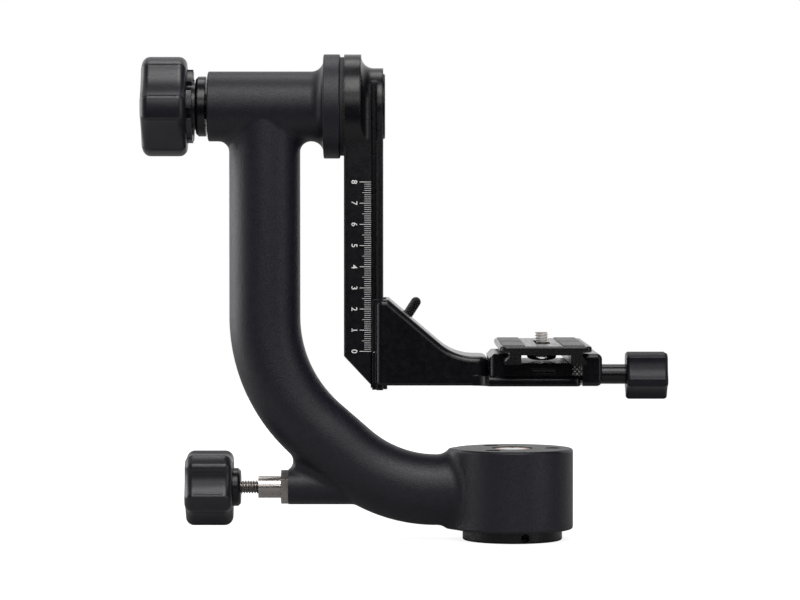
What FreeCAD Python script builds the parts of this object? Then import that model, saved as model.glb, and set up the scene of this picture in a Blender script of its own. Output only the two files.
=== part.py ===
"""Gimbal tripod head, an assembly of separate pieces.

Millimetres, +Z up. The origin is the centre of the face that rests on the tripod.
+X runs along the tilt axis, from the tilt knob towards the camera plate.
"""
import FreeCAD
import Part
import Sketcher
import math
import os

# Driving dimensions. Each one is a cell of the sheet.
SIZES = {
    # fits
    "running_clearance": 0.05,
    "small_gap": 0.1,
    "wide_gap": 0.3,
    # main places
    "tilt_axis_z": 206.7,
    "arm_axis_x": -118.2,
    "lock_axis_z": 25.1,
    # arm tube: vertical stem, bend, slope, bend, level run into the housing
    "tube_width": 33.9,
    "tube_depth": 31.2,
    "upper_bend_radius": 71.6,
    "lower_bend_radius": 64.4,
    "slope_length": 19.6,
    "slope_angle": 41.0,
    "tube_foot_gap": 1.65,
    "tube_crown_gap": 2.95,
    # barrel on the tilt axis
    "barrel_margin": 1.05,
    "barrel_left_x": -145.1,
    "flange_radius": 24.8,
    "flange_left_x": -90.1,
    "flange_right_x": -82.2,
    "casting_rounding": 0.7,
    "junction_fillet": 5.0,
    "flange_fillet": 5.8,
    "neck_fillet": 7.0,
    # boss of the pan lock
    "boss_radius": 8.35,
    "boss_left_x": -107.0,
    "boss_right_x": -62.0,
    "boss_fillet": 5.0,
    # base housing
    "housing_radius": 29.0,
    "housing_bottom_z": 5.2,
    "housing_ceiling": 7.0,
    "cavity_radius": 24.6,
    "housing_rounding": 1.3,
    "nut_window_radius": 9.85,
    # pan plate and spindle
    "plate_radius": 23.8,
    "plate_height": 6.4,
    "plate_rounding": 0.8,
    "spindle_hub_radius": 10.0,
    "spindle_radius": 8.0,
    "spindle_stub_radius": 6.0,
    "tripod_thread_radius": 4.7625,
    "tripod_thread_depth": 12.0,
    "nut_radius": 9.2,
    "nut_height": 5.4,
    "nut_washer_thickness": 1.0,
    "nut_chamfer": 0.5,
    "nut_slot_wall": 0.8,
    "nut_slot_width": 1.8,
    "nut_slot_count": 4,
    "grub_radius": 2.0,
    "grub_length": 9.0,
    "grub_z": 2.6,
    "grub_angle": 13.0,
    # thrust bearing under the carrier
    "race_thickness": 1.0,
    "race_inner_radius": 11.5,
    "race_outer_radius": 20.5,
    "race_spacing": 2.2,
    "cage_thickness": 1.2,
    "cage_margin": 0.4,
    "needle_radius": 1.0,
    "needle_start_radius": 13.5,
    "needle_length": 5.5,
    "needle_count": 18,
    # bearing carrier and its bushes
    "carrier_flange_height": 6.0,
    "carrier_foot_radius": 21.0,
    "carrier_foot_height": 4.0,
    "carrier_sleeve_radius": 15.0,
    "bush_radius": 11.0,
    "bush_length": 7.5,
    "bush_rod_gap": 1.1,
    # three screws that hold the carrier
    "carrier_screw_circle": 19.3,
    "carrier_screw_count": 3,
    "counterbore_radius": 3.8,
    "counterbore_depth": 4.4,
    "screw_head_radius": 3.4,
    "screw_head_height": 4.0,
    "screw_shank_radius": 2.0,
    "screw_shank_length": 7.5,
    "screw_socket_radius": 1.7,
    "screw_socket_depth": 2.0,
    # pan lock
    "lock_rod_radius": 3.0,
    "lock_rod_left_x": -113.0,
    "lock_shoe_length": 4.5,
    "lock_shoe_gap": 0.5,
    "lock_bushing_thread_radius": 6.0,
    "lock_bushing_thread_length": 12.0,
    "lock_collar_across_corners": 16.2,
    "lock_collar_length": 3.5,
    "lock_sleeve_radius": 5.25,
    "lock_sleeve_length": 10.8,
    "lock_stem_radius": 3.175,
    "lock_knob_left_x": -156.0,
    "lock_knob_width": 22.6,
    "lock_knob_radius": 18.3,
    "lock_hub_radius": 9.15,
    "lock_hub_right_x": -129.8,
    "lock_hub_depth": 8.0,
    "lock_hub_bevel": 1.2,
    # tilt axle and its ball bearings
    "axle_radius": 6.0,
    "axle_thread_radius": 4.0,
    "axle_shoulder_x": -149.0,
    "axle_left_x": -171.0,
    "axle_right_x": -72.5,
    "ball_bearing_radius": 10.5,
    "ball_bearing_width": 5.0,
    "ball_bearing_recess": 1.0,
    "ball_bearing_ring": 1.25,
    "ball_radius": 0.88,
    "ball_count": 12,
    "barrel_bore_radius": 8.6,
    "bearing_spacer_wall": 1.1,
    "axle_screw_head_radius": 6.4,
    "axle_screw_head_height": 4.6,
    "axle_screw_radius": 3.4,
    "axle_screw_length": 18.0,
    "axle_screw_socket_depth": 2.5,
    # tilt lock
    "collar_radius": 14.3,
    "collar_left_x": -150.8,
    "collar_right_x": -146.1,
    "collar_chamfer": 1.2,
    "tilt_knob_left_x": -176.3,
    "tilt_knob_width": 21.6,
    "tilt_knob_radius": 23.8,
    "tilt_crown_radius": 17.5,
    "tilt_crown_wall": 3.6,
    "tilt_crown_height": 2.5,
    "tilt_crown_teeth": 8,
    "tilt_crown_slot": 5.0,
    "tilt_hub_radius": 11.2,
    "tilt_insert_radius": 7.0,
    "tilt_insert_end_gap": 1.0,
    # knobs
    "knob_lobes": 5,
    "knob_rounding": 4.0,
    "knob_land_rounding": 3.0,
    "tilt_flute_angle": 22.5,
    "tilt_flute_depth": 3.4,
    "tilt_knob_turn": 57.4,
    "lock_flute_angle": 23.1,
    "lock_flute_depth": 3.2,
    "lock_knob_turn": 4.3,
    "clamp_flute_angle": 27.0,
    "clamp_flute_depth": 2.4,
    # swing arm: disc and grooved plate
    "washer_radius": 23.5,
    "washer_bore_radius": 9.0,
    "disc_radius": 24.75,
    "disc_left_x": -80.2,
    "disc_thickness": 8.0,
    "disc_fillet": 6.0,
    "rail_right_x": -61.7,
    "rail_half_width": 18.0,
    "rail_end_radius": 18.2,
    "rail_bottom_z": 72.3,
    "rail_lip": 3.0,
    "groove_width": 2.5,
    "groove_depth": 4.0,
    "rail_chamfer_x": 13.3,
    "rail_chamfer_z": 16.2,
    "rail_toe_height": 2.0,
    "rail_rounding": 1.2,
    "rail_lip_rounding": 0.5,
    "rail_web": 4.0,
    "cap_radius": 15.5,
    "cap_height": 0.9,
    "cap_rounding": 0.7,
    "cap_spigot_radius": 13.0,
    "cap_spigot_depth": 2.0,
    "stop_screw_radius": 1.4,
    "stop_screw_head": 1.9,
    "stop_screw_depth": 6.0,
    # platform bracket
    "bracket_bottom_z": 74.7,
    "bracket_height": 40.6,
    "bracket_half_width": 22.5,
    "bracket_left_x": -66.7,
    "bracket_shelf_x": -59.2,
    "bracket_knee_x": -27.6,
    "bracket_arm_height": 13.7,
    "bracket_arm_end_x": -12.1,
    "bracket_knee_radius": 25.0,
    "bracket_rounding": 2.8,
    "bracket_edge_rounding": 3.2,
    "bracket_foot_rounding": 1.2,
    "hook_width": 1.6,
    "hook_wall": 0.7,
    "bracket_relief_depth": 1.4,
    "bracket_relief_half_width": 16.2,
    "bracket_end_rounding": 5.5,
    "deck_right_x": 31.2,
    "deck_half_width": 30.0,
    "deck_thickness": 4.7,
    "deck_rounding": 3.0,
    "deck_top_rounding": 1.9,
    "deck_foot_rounding": 1.0,
    # clamping jaw of the bracket, its dowels and its lever
    "rail_jaw_right_x": -50.0,
    "rail_jaw_thickness": 3.9,
    "dowel_radius": 1.5,
    "dowel_depth": 9.0,
    "lower_dowel_drop": 13.0,
    "upper_dowel_rise": 10.0,
    "lever_pivot_x": -55.9,
    "lever_pivot_z": 97.6,
    "lever_screw_radius": 3.0,
    "lever_screw_depth": 20.0,
    "lever_screw_end_gap": 5.0,
    "lever_hub_radius": 5.5,
    "lever_hub_height": 6.4,
    "lever_rod_radius": 2.45,
    "lever_rod_length": 18.1,
    "lever_rod_angle": 57.0,
    # quick-release clamp
    "clamp_left_x": -11.8,
    "clamp_right_x": 31.0,
    "clamp_floor_z": 85.6,
    "clamp_top_z": 90.0,
    "clamp_corner": 2.2,
    "clamp_side_inset": 2.0,
    "clamp_side_rounding": 3.8,
    "clamp_keel_left_x": 0.0,
    "clamp_keel_half_width": 8.5,
    "jaw_lip_height": 0.5,
    "moving_jaw_right_x": 41.2,
    "moving_jaw_gap": 0.6,
    "moving_jaw_closing_gap": 0.8,
    "moving_jaw_side_rounding": 2.0,
    "moving_jaw_rounding": 2.6,
    "clamp_screw_z": 79.1,
    "clamp_screw_radius": 3.0,
    "clamp_screw_left_x": 8.0,
    "clamp_bore_left_x": 5.0,
    "clamp_collar_radius": 4.7,
    "clamp_knob_left_x": 54.1,
    "clamp_knob_width": 19.6,
    "clamp_knob_radius": 11.9,
    "clamp_knob_rounding": 1.6,
    "clamp_knob_land_rounding": 1.2,
    "guide_pin_radius": 1.8,
    "guide_pin_y": 20.0,
    "guide_pin_z": 82.4,
    "guide_pin_left_x": 15.0,
    "guide_pin_right_x": 39.0,
    "clamp_bolt_left_x": -6.0,
    "clamp_bolt_spacing_x": 14.0,
    "clamp_bolt_y": 17.0,
    "clamp_bolt_head_height": 2.4,
    "clamp_bolt_length": 7.0,
    "clamp_bolt_socket_depth": 1.3,
    "scoop_length": 10.7,
    "scoop_radius": 1.07,
    "scoop_stand_off": 0.37,
    "scoop_x": 13.4,
    "scoop_z": 81.95,
    # quick-release plate
    "plate_centre_x": 13.9,
    "camera_plate_width": 42.6,
    "camera_plate_length": 100.0,
    "camera_plate_top_z": 94.35,
    "camera_plate_slab": 2.9,
    "camera_plate_corner": 3.0,
    "camera_plate_rounding": 1.0,
    "neck_half_width": 16.85,
    "foot_half_width": 19.0,
    "foot_rim": 1.35,
    "foot_floor_gap": 0.3,
    "channel_half_width": 11.45,
    "channel_roof_step": 1.25,
    "plate_slot_half_width": 3.5,
    "plate_slot_half_length": 22.0,
    "pad_width": 10.3,
    "pad_length": 43.5,
    "pad_middle_x": 13.0,
    "pad_offset_x": 13.9,
    "pad_offset_y": 24.75,
    "pad_proud": 0.5,
    "pad_recess": 0.6,
    "safety_screw_radius": 2.3,
    "safety_screw_head": 5.2,
    "safety_shank_radius": 1.25,
    "safety_shank_length": 4.0,
    "safety_offset_x": 14.6,
    "safety_offset_y": 45.5,
    # camera screw
    "camera_screw_radius": 3.175,
    "camera_screw_top_z": 99.2,
    "camera_thread_length": 4.7,
    "camera_neck_radius": 2.6,
    "camera_head_radius": 5.2,
    "camera_head_height": 2.9,
    "camera_washer_thickness": 0.8,
    "camera_washer_step": 0.5,
    "camera_slot_width": 1.6,
    "camera_slot_depth": 1.1,
    "ring_radius": 6.2,
    "ring_wire_radius": 0.8,
    "ring_rest_angle": 10.0,
    "ring_pivot_radius": 0.6,
    "ring_pivot_depth": 2.0,
}

OVERSHOOT = 1.0  # how far a cut runs past the face it opens
NEARNESS = 0.01  # two places closer than this are the same
SEARCH_MARGIN = 3.0  # how far outside a cast shape its blend edges are looked for
SHORTEST_SEAM = 5.0  # a blend edge is longer than this


class Size:
    """A number of the sheet, or a sum of such numbers, with its formula."""

    def __init__(self, number, formula):
        self.number = number
        self.formula = formula

    def __add__(self, other):
        other = as_size(other)
        return Size(self.number + other.number, f"({self.formula} + {other.formula})")

    def __sub__(self, other):
        other = as_size(other)
        return Size(self.number - other.number, f"({self.formula} - {other.formula})")

    def __mul__(self, other):
        other = as_size(other)
        return Size(self.number * other.number, f"({self.formula} * {other.formula})")

    def __truediv__(self, other):
        other = as_size(other)
        return Size(self.number / other.number, f"({self.formula} / {other.formula})")

    def __radd__(self, other):
        return as_size(other) + self

    def __rsub__(self, other):
        return as_size(other) - self

    def __rmul__(self, other):
        return as_size(other) * self

    def __neg__(self):
        return Size(-self.number, f"(-{self.formula})")


def as_size(value):
    """A plain number becomes a Size with a constant formula."""
    if isinstance(value, Size):
        return value
    return Size(float(value), f"({float(value)})")


def cosine(angle):
    """Cosine of an angle in degrees."""
    return Size(math.cos(math.radians(angle.number)), f"cos({angle.formula} * 1 deg)")


def sine(angle):
    """Sine of an angle in degrees."""
    return Size(math.sin(math.radians(angle.number)), f"sin({angle.formula} * 1 deg)")


class Dimensions:
    """The sheet's cells, read as attributes."""

    def __getattr__(self, name):
        return Size(SIZES[name], f"Sizes.{name}")


d = Dimensions()
doc = FreeCAD.newDocument("gimbal_tripod_head")
sheet = doc.addObject("Spreadsheet::Sheet", "Sizes")
pieces = []

PLANES = {"X": "YZ_Plane", "Y": "XZ_Plane", "Z": "XY_Plane"}
TURNING_PLANES = {"X": "XZ_Plane", "Y": "YZ_Plane", "Z": "XZ_Plane"}
ALONG = {
    "X": FreeCAD.Rotation(FreeCAD.Vector(0, 1, 0), 90),
    "Y": FreeCAD.Rotation(FreeCAD.Vector(1, 0, 0), -90),
    "Z": FreeCAD.Rotation(),
}


def fill_sheet():
    """One row for each driving dimension: its name, its number and the alias."""
    for row, (name, number) in enumerate(SIZES.items(), start=1):
        sheet.set(f"A{row}", name)
        sheet.set(f"B{row}", str(number))
        sheet.setAlias(f"B{row}", name)
    doc.recompute()


def bind(thing, name, size):
    """Tie a property to the sheet."""
    thing.setExpression(name, as_size(size).formula)


def place(thing, centre):
    """Tie an object's position to the sheet."""
    for axis, size in zip("xyz", centre):
        if size is not None:
            bind(thing, f"Placement.Base.{axis}", size)


def finish(thing, label):
    """Name a finished sub-part and keep it for export."""
    thing.Label = label
    pieces.append(thing)
    doc.recompute()
    return thing


# Solid bodies built from sketches


def new_body(name, centre=None):
    """An empty body, moved to its centre."""
    body = doc.addObject("PartDesign::Body", name)
    if centre:
        place(body, centre)
    return body


def turned_body(name, centre, angle):
    """An empty body, moved to its centre and turned about X."""
    body = new_body(name, centre)
    body.Placement.Rotation = FreeCAD.Rotation(FreeCAD.Vector(1, 0, 0), 1)
    bind(body, "Placement.Rotation.Angle", angle)
    return body


def origin_part(body, role):
    """A plane or axis of the body's own origin."""
    for feature in body.Origin.OriginFeatures:
        if feature.Role == role:
            return feature
    raise ValueError(role)


def new_sketch(body, plane, offset=None):
    """An empty sketch on one of the body's origin planes."""
    sketch = body.newObject("Sketcher::SketchObject", "Sketch")
    sketch.AttachmentSupport = [(origin_part(body, plane), "")]
    sketch.MapMode = "FlatFace"
    if offset is not None:
        bind(sketch, "AttachmentOffset.Base.z", offset)
    return sketch


def pin_point(sketch, geometry, point, corner):
    """Tie a point of the sketch to its two coordinates."""
    for kind, size in zip(("DistanceX", "DistanceY"), corner):
        size = as_size(size)
        rule = Sketcher.Constraint(kind, -1, 1, geometry, point, size.number)
        number = sketch.addConstraint(rule)
        sketch.setExpression(f"Constraints[{number}]", size.formula)


def tie_measure(sketch, kind, geometry, size):
    """Tie a radius or a length of the sketch to the sheet."""
    size = as_size(size)
    number = sketch.addConstraint(Sketcher.Constraint(kind, geometry, size.number))
    sketch.setExpression(f"Constraints[{number}]", size.formula)


def draw_outline(sketch, corners):
    """A closed outline of straight lines through the corners."""
    points = [FreeCAD.Vector(as_size(x).number, as_size(y).number, 0) for x, y in corners]
    for start, end in zip(points, points[1:] + points[:1]):
        sketch.addGeometry(Part.LineSegment(start, end), False)
    for index, corner in enumerate(corners):
        before = (index - 1) % len(corners)
        sketch.addConstraint(Sketcher.Constraint("Coincident", before, 2, index, 1))
        pin_point(sketch, index, 1, corner)


def draw_circle(sketch, centre, radius):
    """A circle."""
    middle = FreeCAD.Vector(as_size(centre[0]).number, as_size(centre[1]).number, 0)
    circle = Part.Circle(middle, FreeCAD.Vector(0, 0, 1), as_size(radius).number)
    sketch.addGeometry(circle, False)
    pin_point(sketch, 0, 3, centre)
    tie_measure(sketch, "Radius", 0, radius)


def extrude(body, kind, axis, start, end, draw):
    """Pad or pocket between two places on an axis; draw makes the sketch."""
    start = as_size(start)
    end = as_size(end)
    offset = -end if axis == "Y" else start
    sketch = new_sketch(body, PLANES[axis], offset)
    draw(sketch)
    feature = body.newObject(f"PartDesign::{kind}", kind)
    feature.Profile = sketch
    feature.Reversed = kind == "Pocket"
    bind(feature, "Length", end - start)
    return feature


def add_block(body, axis, start, end, corners):
    """Add a straight block with the given outline."""
    return extrude(body, "Pad", axis, start, end, lambda sketch: draw_outline(sketch, corners))


def cut_block(body, axis, start, end, corners):
    """Cut a straight block with the given outline."""
    return extrude(body, "Pocket", axis, start, end, lambda sketch: draw_outline(sketch, corners))


def add_round(body, axis, start, end, centre, radius):
    """Add a round bar."""
    return extrude(body, "Pad", axis, start, end, lambda sketch: draw_circle(sketch, centre, radius))


def cut_round(body, axis, start, end, centre, radius):
    """Cut a round hole."""
    return extrude(body, "Pocket", axis, start, end, lambda sketch: draw_circle(sketch, centre, radius))


def rectangle(low, high):
    """The four corners of a rectangle."""
    return [(low[0], low[1]), (high[0], low[1]), (high[0], high[1]), (low[0], high[1])]


def repeat(body, feature, axis, count):
    """Repeat a feature round an axis of the body."""
    pattern = body.newObject("PartDesign::PolarPattern", "Pattern")
    pattern.Originals = [feature]
    pattern.Axis = (origin_part(body, f"{axis}_Axis"), [""])
    pattern.Angle = 360
    bind(pattern, "Occurrences", count)
    body.Tip = pattern
    return pattern


def turn(body, axis, corners):
    """Add a turned shape; a corner is a place along the axis and a radius."""
    if axis == "Z":
        corners = [(radius, along) for along, radius in corners]
    sketch = new_sketch(body, TURNING_PLANES[axis])
    draw_outline(sketch, corners)
    feature = body.newObject("PartDesign::Revolution", "Turned")
    feature.Profile = sketch
    feature.ReferenceAxis = (origin_part(body, f"{axis}_Axis"), [""])
    return feature


def tube_corners(start, end, inner, outer):
    """Outline of a plain tube for turning."""
    return [(start, inner), (start, outer), (end, outer), (end, inner)]


def edges_where(feature, test):
    """Names of the feature's edges that pass the test."""
    doc.recompute()
    shape = feature.Shape
    return [f"Edge{number}" for number, edge in enumerate(shape.Edges, start=1) if test(edge)]


def dress(body, kind, test, measure, size):
    """Fillet or chamfer the edges of the body's latest feature that pass the test."""
    base = body.Tip
    names = edges_where(base, test)
    feature = body.newObject(f"PartDesign::{kind}", kind)
    feature.Base = (base, names)
    bind(feature, measure, size)
    return feature


def round_edges(body, test, radius):
    """Fillet the edges that pass the test."""
    return dress(body, "Fillet", test, "Radius", radius)


def bevel_edges(body, test, size):
    """Chamfer the edges that pass the test."""
    return dress(body, "Chamfer", test, "Size", size)


def near(first, second):
    """Whether two numbers are the same place."""
    return abs(as_size(first).number - as_size(second).number) < NEARNESS


def circle_at(axis, along, radius):
    """Test for a full circular edge about an axis direction."""
    index = "XYZ".index(axis)

    def test(edge):
        if not isinstance(edge.Curve, Part.Circle):
            return False
        lies_across = abs(abs(edge.Curve.Axis[index]) - 1) < 1e-6
        return lies_across and near(edge.Curve.Center[index], along) and near(edge.Curve.Radius, radius)

    return test


def any_of(*tests):
    """Test that passes when one of the tests passes."""
    return lambda edge: any(test(edge) for test in tests)


def straight_at(axis, first, second):
    """Test for a straight edge along an axis through the given other two coordinates."""
    index = "XYZ".index(axis)
    others = [number for number in range(3) if number != index]

    def test(edge):
        if not isinstance(edge.Curve, Part.Line):
            return False
        if abs(abs(edge.Curve.Direction[index]) - 1) > 1e-6:
            return False
        point = edge.Vertexes[0].Point
        return near(point[others[0]], first) and near(point[others[1]], second)

    return test


# Solids built from primitives


def cylinder(axis, start, end, centre, radius):
    """A round bar between two places on an axis."""
    solid = doc.addObject("Part::Cylinder", "Bar")
    solid.Placement = FreeCAD.Placement(FreeCAD.Vector(), ALONG[axis])
    where = list(centre)
    where.insert("XYZ".index(axis), start)
    place(solid, where)
    bind(solid, "Radius", radius)
    bind(solid, "Height", as_size(end) - start)
    return solid


def hexagon(axis, start, end, centre, corner_radius):
    """A six-sided bar between two places on an axis."""
    solid = doc.addObject("Part::Prism", "Hexagon")
    solid.Polygon = 6
    solid.Placement = FreeCAD.Placement(FreeCAD.Vector(), ALONG[axis])
    where = list(centre)
    where.insert("XYZ".index(axis), start)
    place(solid, where)
    bind(solid, "Circumradius", corner_radius)
    bind(solid, "Height", as_size(end) - start)
    return solid


def block(low, high):
    """A rectangular block between two corners."""
    solid = doc.addObject("Part::Box", "Block")
    place(solid, low)
    for name, start, end in zip(("Length", "Width", "Height"), low, high):
        bind(solid, name, as_size(end) - start)
    return solid


def join(*solids):
    """Join solids into one."""
    joined = doc.addObject("Part::MultiFuse", "Joined")
    joined.Shapes = list(solids)
    return joined


def cut(base, *tools):
    """Cut tools from a solid."""
    for tool in tools:
        result = doc.addObject("Part::Cut", "Cut")
        result.Base = base
        result.Tool = tool
        base = result
    return base


def group(solids):
    """Keep several solids together in one sub-part."""
    together = doc.addObject("Part::Compound", "Group")
    together.Links = list(solids)
    return together


def ring(label, axis, start, end, inner, outer, centre=None):
    """A plain turned ring or tube."""
    body = new_body(label, centre)
    turn(body, axis, tube_corners(start, end, inner, outer))
    return finish(body, label)


# Places that several pieces share

barrel_radius = d.tube_depth / 2 + d.barrel_margin
level_run_z = d.housing_bottom_z + d.tube_foot_gap + d.tube_width / 2
housing_top_z = level_run_z + d.tube_width / 2 + d.tube_crown_gap
ceiling_z = housing_top_z - d.housing_ceiling
spindle_shoulder_z = ceiling_z + d.wide_gap
carrier_bottom_z = d.plate_height + d.race_thickness * 2 + d.race_spacing
tilt_centre = (0, 0, d.tilt_axis_z)
lock_centre = (0, 0, d.lock_axis_z)
rail_lip_left_x = d.rail_right_x - d.rail_lip
platform_top_z = d.bracket_bottom_z + d.bracket_arm_height
deck_top_z = d.bracket_bottom_z + d.deck_thickness
bracket_top_z = d.bracket_bottom_z + d.bracket_height
slab_bottom_z = d.camera_plate_top_z - d.camera_plate_slab
channel_roof_z = slab_bottom_z - d.channel_roof_step
foot_bottom_z = d.clamp_floor_z + d.foot_floor_gap
foot_shoulder_z = foot_bottom_z + d.foot_rim
flank = d.foot_half_width - d.neck_half_width
neck_z = foot_shoulder_z + flank
camera_washer_bottom_z = channel_roof_z - d.small_gap - d.camera_washer_thickness
camera_head_top_z = camera_washer_bottom_z - d.small_gap
camera_head_bottom_z = camera_head_top_z - d.camera_head_height
ring_pivot_z = camera_head_bottom_z + d.camera_head_height / 2


# Tripod base


def pan_plate():
    """Disc that rests on the tripod, with the grub screw's hole in its rim."""
    body = new_body("plate_disc")
    turn(body, "Z", tube_corners(0, d.plate_height, d.spindle_hub_radius, d.plate_radius))
    round_edges(body, circle_at("Z", 0, d.plate_radius), d.plate_rounding)
    hole_end = -d.spindle_hub_radius + OVERSHOOT
    hole = cylinder("Y", -d.plate_radius, hole_end, (0, d.grub_z), d.grub_radius)
    finish(cut(body, turned_to_grub(hole)), "pan_plate")


def turned_to_grub(solid):
    """A solid that points to -Y, turned about the pan axis to the grub screw's place."""
    turned = group([solid])
    turned.Placement = FreeCAD.Placement(FreeCAD.Vector(), FreeCAD.Rotation(FreeCAD.Vector(0, 0, 1), 1))
    bind(turned, "Placement.Rotation.Angle", d.grub_angle)
    return turned


def grub_screw():
    """Set screw in the plate's rim that bears on the spindle's hub."""
    tail = -d.spindle_hub_radius
    head = tail - d.grub_length
    screw = cylinder("Y", head, tail, (0, d.grub_z), d.grub_radius)
    socket = hexagon("Y", head, head + d.grub_radius, (0, d.grub_z), d.grub_radius / 2)
    finish(turned_to_grub(cut(screw, socket)), "plate_grub_screw")


def spindle():
    """Steel post of the base, with the tripod's thread from below and a stub for the nut."""
    body = new_body("spindle")
    stub_top = spindle_shoulder_z + d.nut_washer_thickness + d.nut_height
    turn(body, "Z", [
        (0, 0),
        (0, d.spindle_hub_radius),
        (d.plate_height, d.spindle_hub_radius),
        (d.plate_height, d.spindle_radius),
        (spindle_shoulder_z, d.spindle_radius),
        (spindle_shoulder_z, d.spindle_stub_radius),
        (stub_top, d.spindle_stub_radius),
        (stub_top, 0),
    ])
    cut_round(body, "Z", 0, d.tripod_thread_depth, (0, 0), d.tripod_thread_radius)
    finish(body, "spindle")


def spindle_nut_and_washer():
    """Bronze nut in the housing's top hole, on its thrust washer."""
    washer_z = spindle_shoulder_z
    nut_z = washer_z + d.nut_washer_thickness
    ring("nut_washer", "Z", washer_z, nut_z, d.spindle_stub_radius, d.nut_radius)
    body = new_body("spindle_nut")
    turn(body, "Z", tube_corners(nut_z, nut_z + d.nut_height, d.spindle_stub_radius, d.nut_radius))
    bevel_edges(body, circle_at("Z", nut_z + d.nut_height, d.nut_radius), d.nut_chamfer)
    half_slot = d.nut_slot_width / 2
    slot_start = d.spindle_stub_radius + d.nut_slot_wall
    slot = cut_block(
        body, "Z", nut_z + d.nut_height / 2, nut_z + d.nut_height,
        rectangle((slot_start, -half_slot), (d.nut_radius + OVERSHOOT, half_slot)),
    )
    repeat(body, slot, "Z", d.nut_slot_count)
    finish(body, "spindle_nut")


def thrust_bearing():
    """Two flat races with a cage of needles between them."""
    lower = d.plate_height
    upper = lower + d.race_thickness + d.race_spacing
    ring("thrust_lower_race", "Z", lower, lower + d.race_thickness, d.race_inner_radius, d.race_outer_radius)
    ring("thrust_upper_race", "Z", upper, upper + d.race_thickness, d.race_inner_radius, d.race_outer_radius)
    middle = lower + d.race_thickness + d.race_spacing / 2
    cage = new_body("thrust_cage")
    turn(cage, "Z", tube_corners(
        middle - d.cage_thickness / 2, middle + d.cage_thickness / 2,
        d.race_inner_radius + d.cage_margin, d.race_outer_radius - d.cage_margin,
    ))
    reach = d.needle_start_radius + d.needle_length
    window = cut_block(
        cage, "Z", middle - d.cage_thickness, middle + d.cage_thickness,
        rectangle(
            (d.needle_start_radius - d.running_clearance, -d.needle_radius),
            (reach + d.running_clearance, d.needle_radius),
        ),
    )
    repeat(cage, window, "Z", d.needle_count)
    finish(cage, "thrust_cage")
    needle = new_body("needle")
    bar = add_round(needle, "X", d.needle_start_radius, reach, (0, middle), d.needle_radius)
    needle.AllowCompound = True
    repeat(needle, bar, "Z", d.needle_count)
    finish(needle, "thrust_needles")


def bearing_carrier():
    """Aluminium sleeve that hangs in the housing and holds the bushes."""
    body = new_body("bearing_carrier")
    outer = d.cavity_radius - d.running_clearance
    foot_top = carrier_bottom_z + d.carrier_foot_height
    flange_bottom = ceiling_z - d.carrier_flange_height
    turn(body, "Z", [
        (carrier_bottom_z, d.bush_radius),
        (carrier_bottom_z, d.carrier_foot_radius),
        (foot_top, d.carrier_foot_radius),
        (foot_top, d.carrier_sleeve_radius),
        (flange_bottom, d.carrier_sleeve_radius),
        (flange_bottom, outer),
        (ceiling_z, outer),
        (ceiling_z, d.bush_radius),
    ])
    hole = cut_round(
        body, "Z", flange_bottom, ceiling_z, (d.carrier_screw_circle, 0), d.screw_shank_radius
    )
    repeat(body, hole, "Z", d.carrier_screw_count)
    rod_start = -d.carrier_sleeve_radius - OVERSHOOT
    cut_round(body, "X", rod_start, 0, (0, d.lock_axis_z), d.lock_rod_radius + d.small_gap)
    finish(body, "bearing_carrier")
    bore = d.spindle_radius + d.running_clearance
    ring("pan_bush_lower", "Z", carrier_bottom_z, carrier_bottom_z + d.bush_length, bore, d.bush_radius)
    upper_start = d.lock_axis_z + d.lock_rod_radius + d.bush_rod_gap
    ring("pan_bush_upper", "Z", upper_start, ceiling_z, bore, d.bush_radius)


def carrier_screws():
    """Cap screws that hold the carrier, sunk in the housing's top face."""
    head_bottom = housing_top_z - d.counterbore_depth
    head_top = head_bottom + d.screw_head_height
    screws = []
    for number in range(int(SIZES["carrier_screw_count"])):
        angle = as_size(number) * 360 / d.carrier_screw_count
        centre = (d.carrier_screw_circle * cosine(angle), d.carrier_screw_circle * sine(angle))
        head = cylinder("Z", head_bottom, head_top, centre, d.screw_head_radius)
        shank = cylinder("Z", head_bottom - d.screw_shank_length, head_bottom, centre, d.screw_shank_radius)
        socket = hexagon("Z", head_top - d.screw_socket_depth, head_top, centre, d.screw_socket_radius)
        screws.append(cut(join(head, shank), socket))
    finish(group(screws), "carrier_screws")


# Arm


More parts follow.
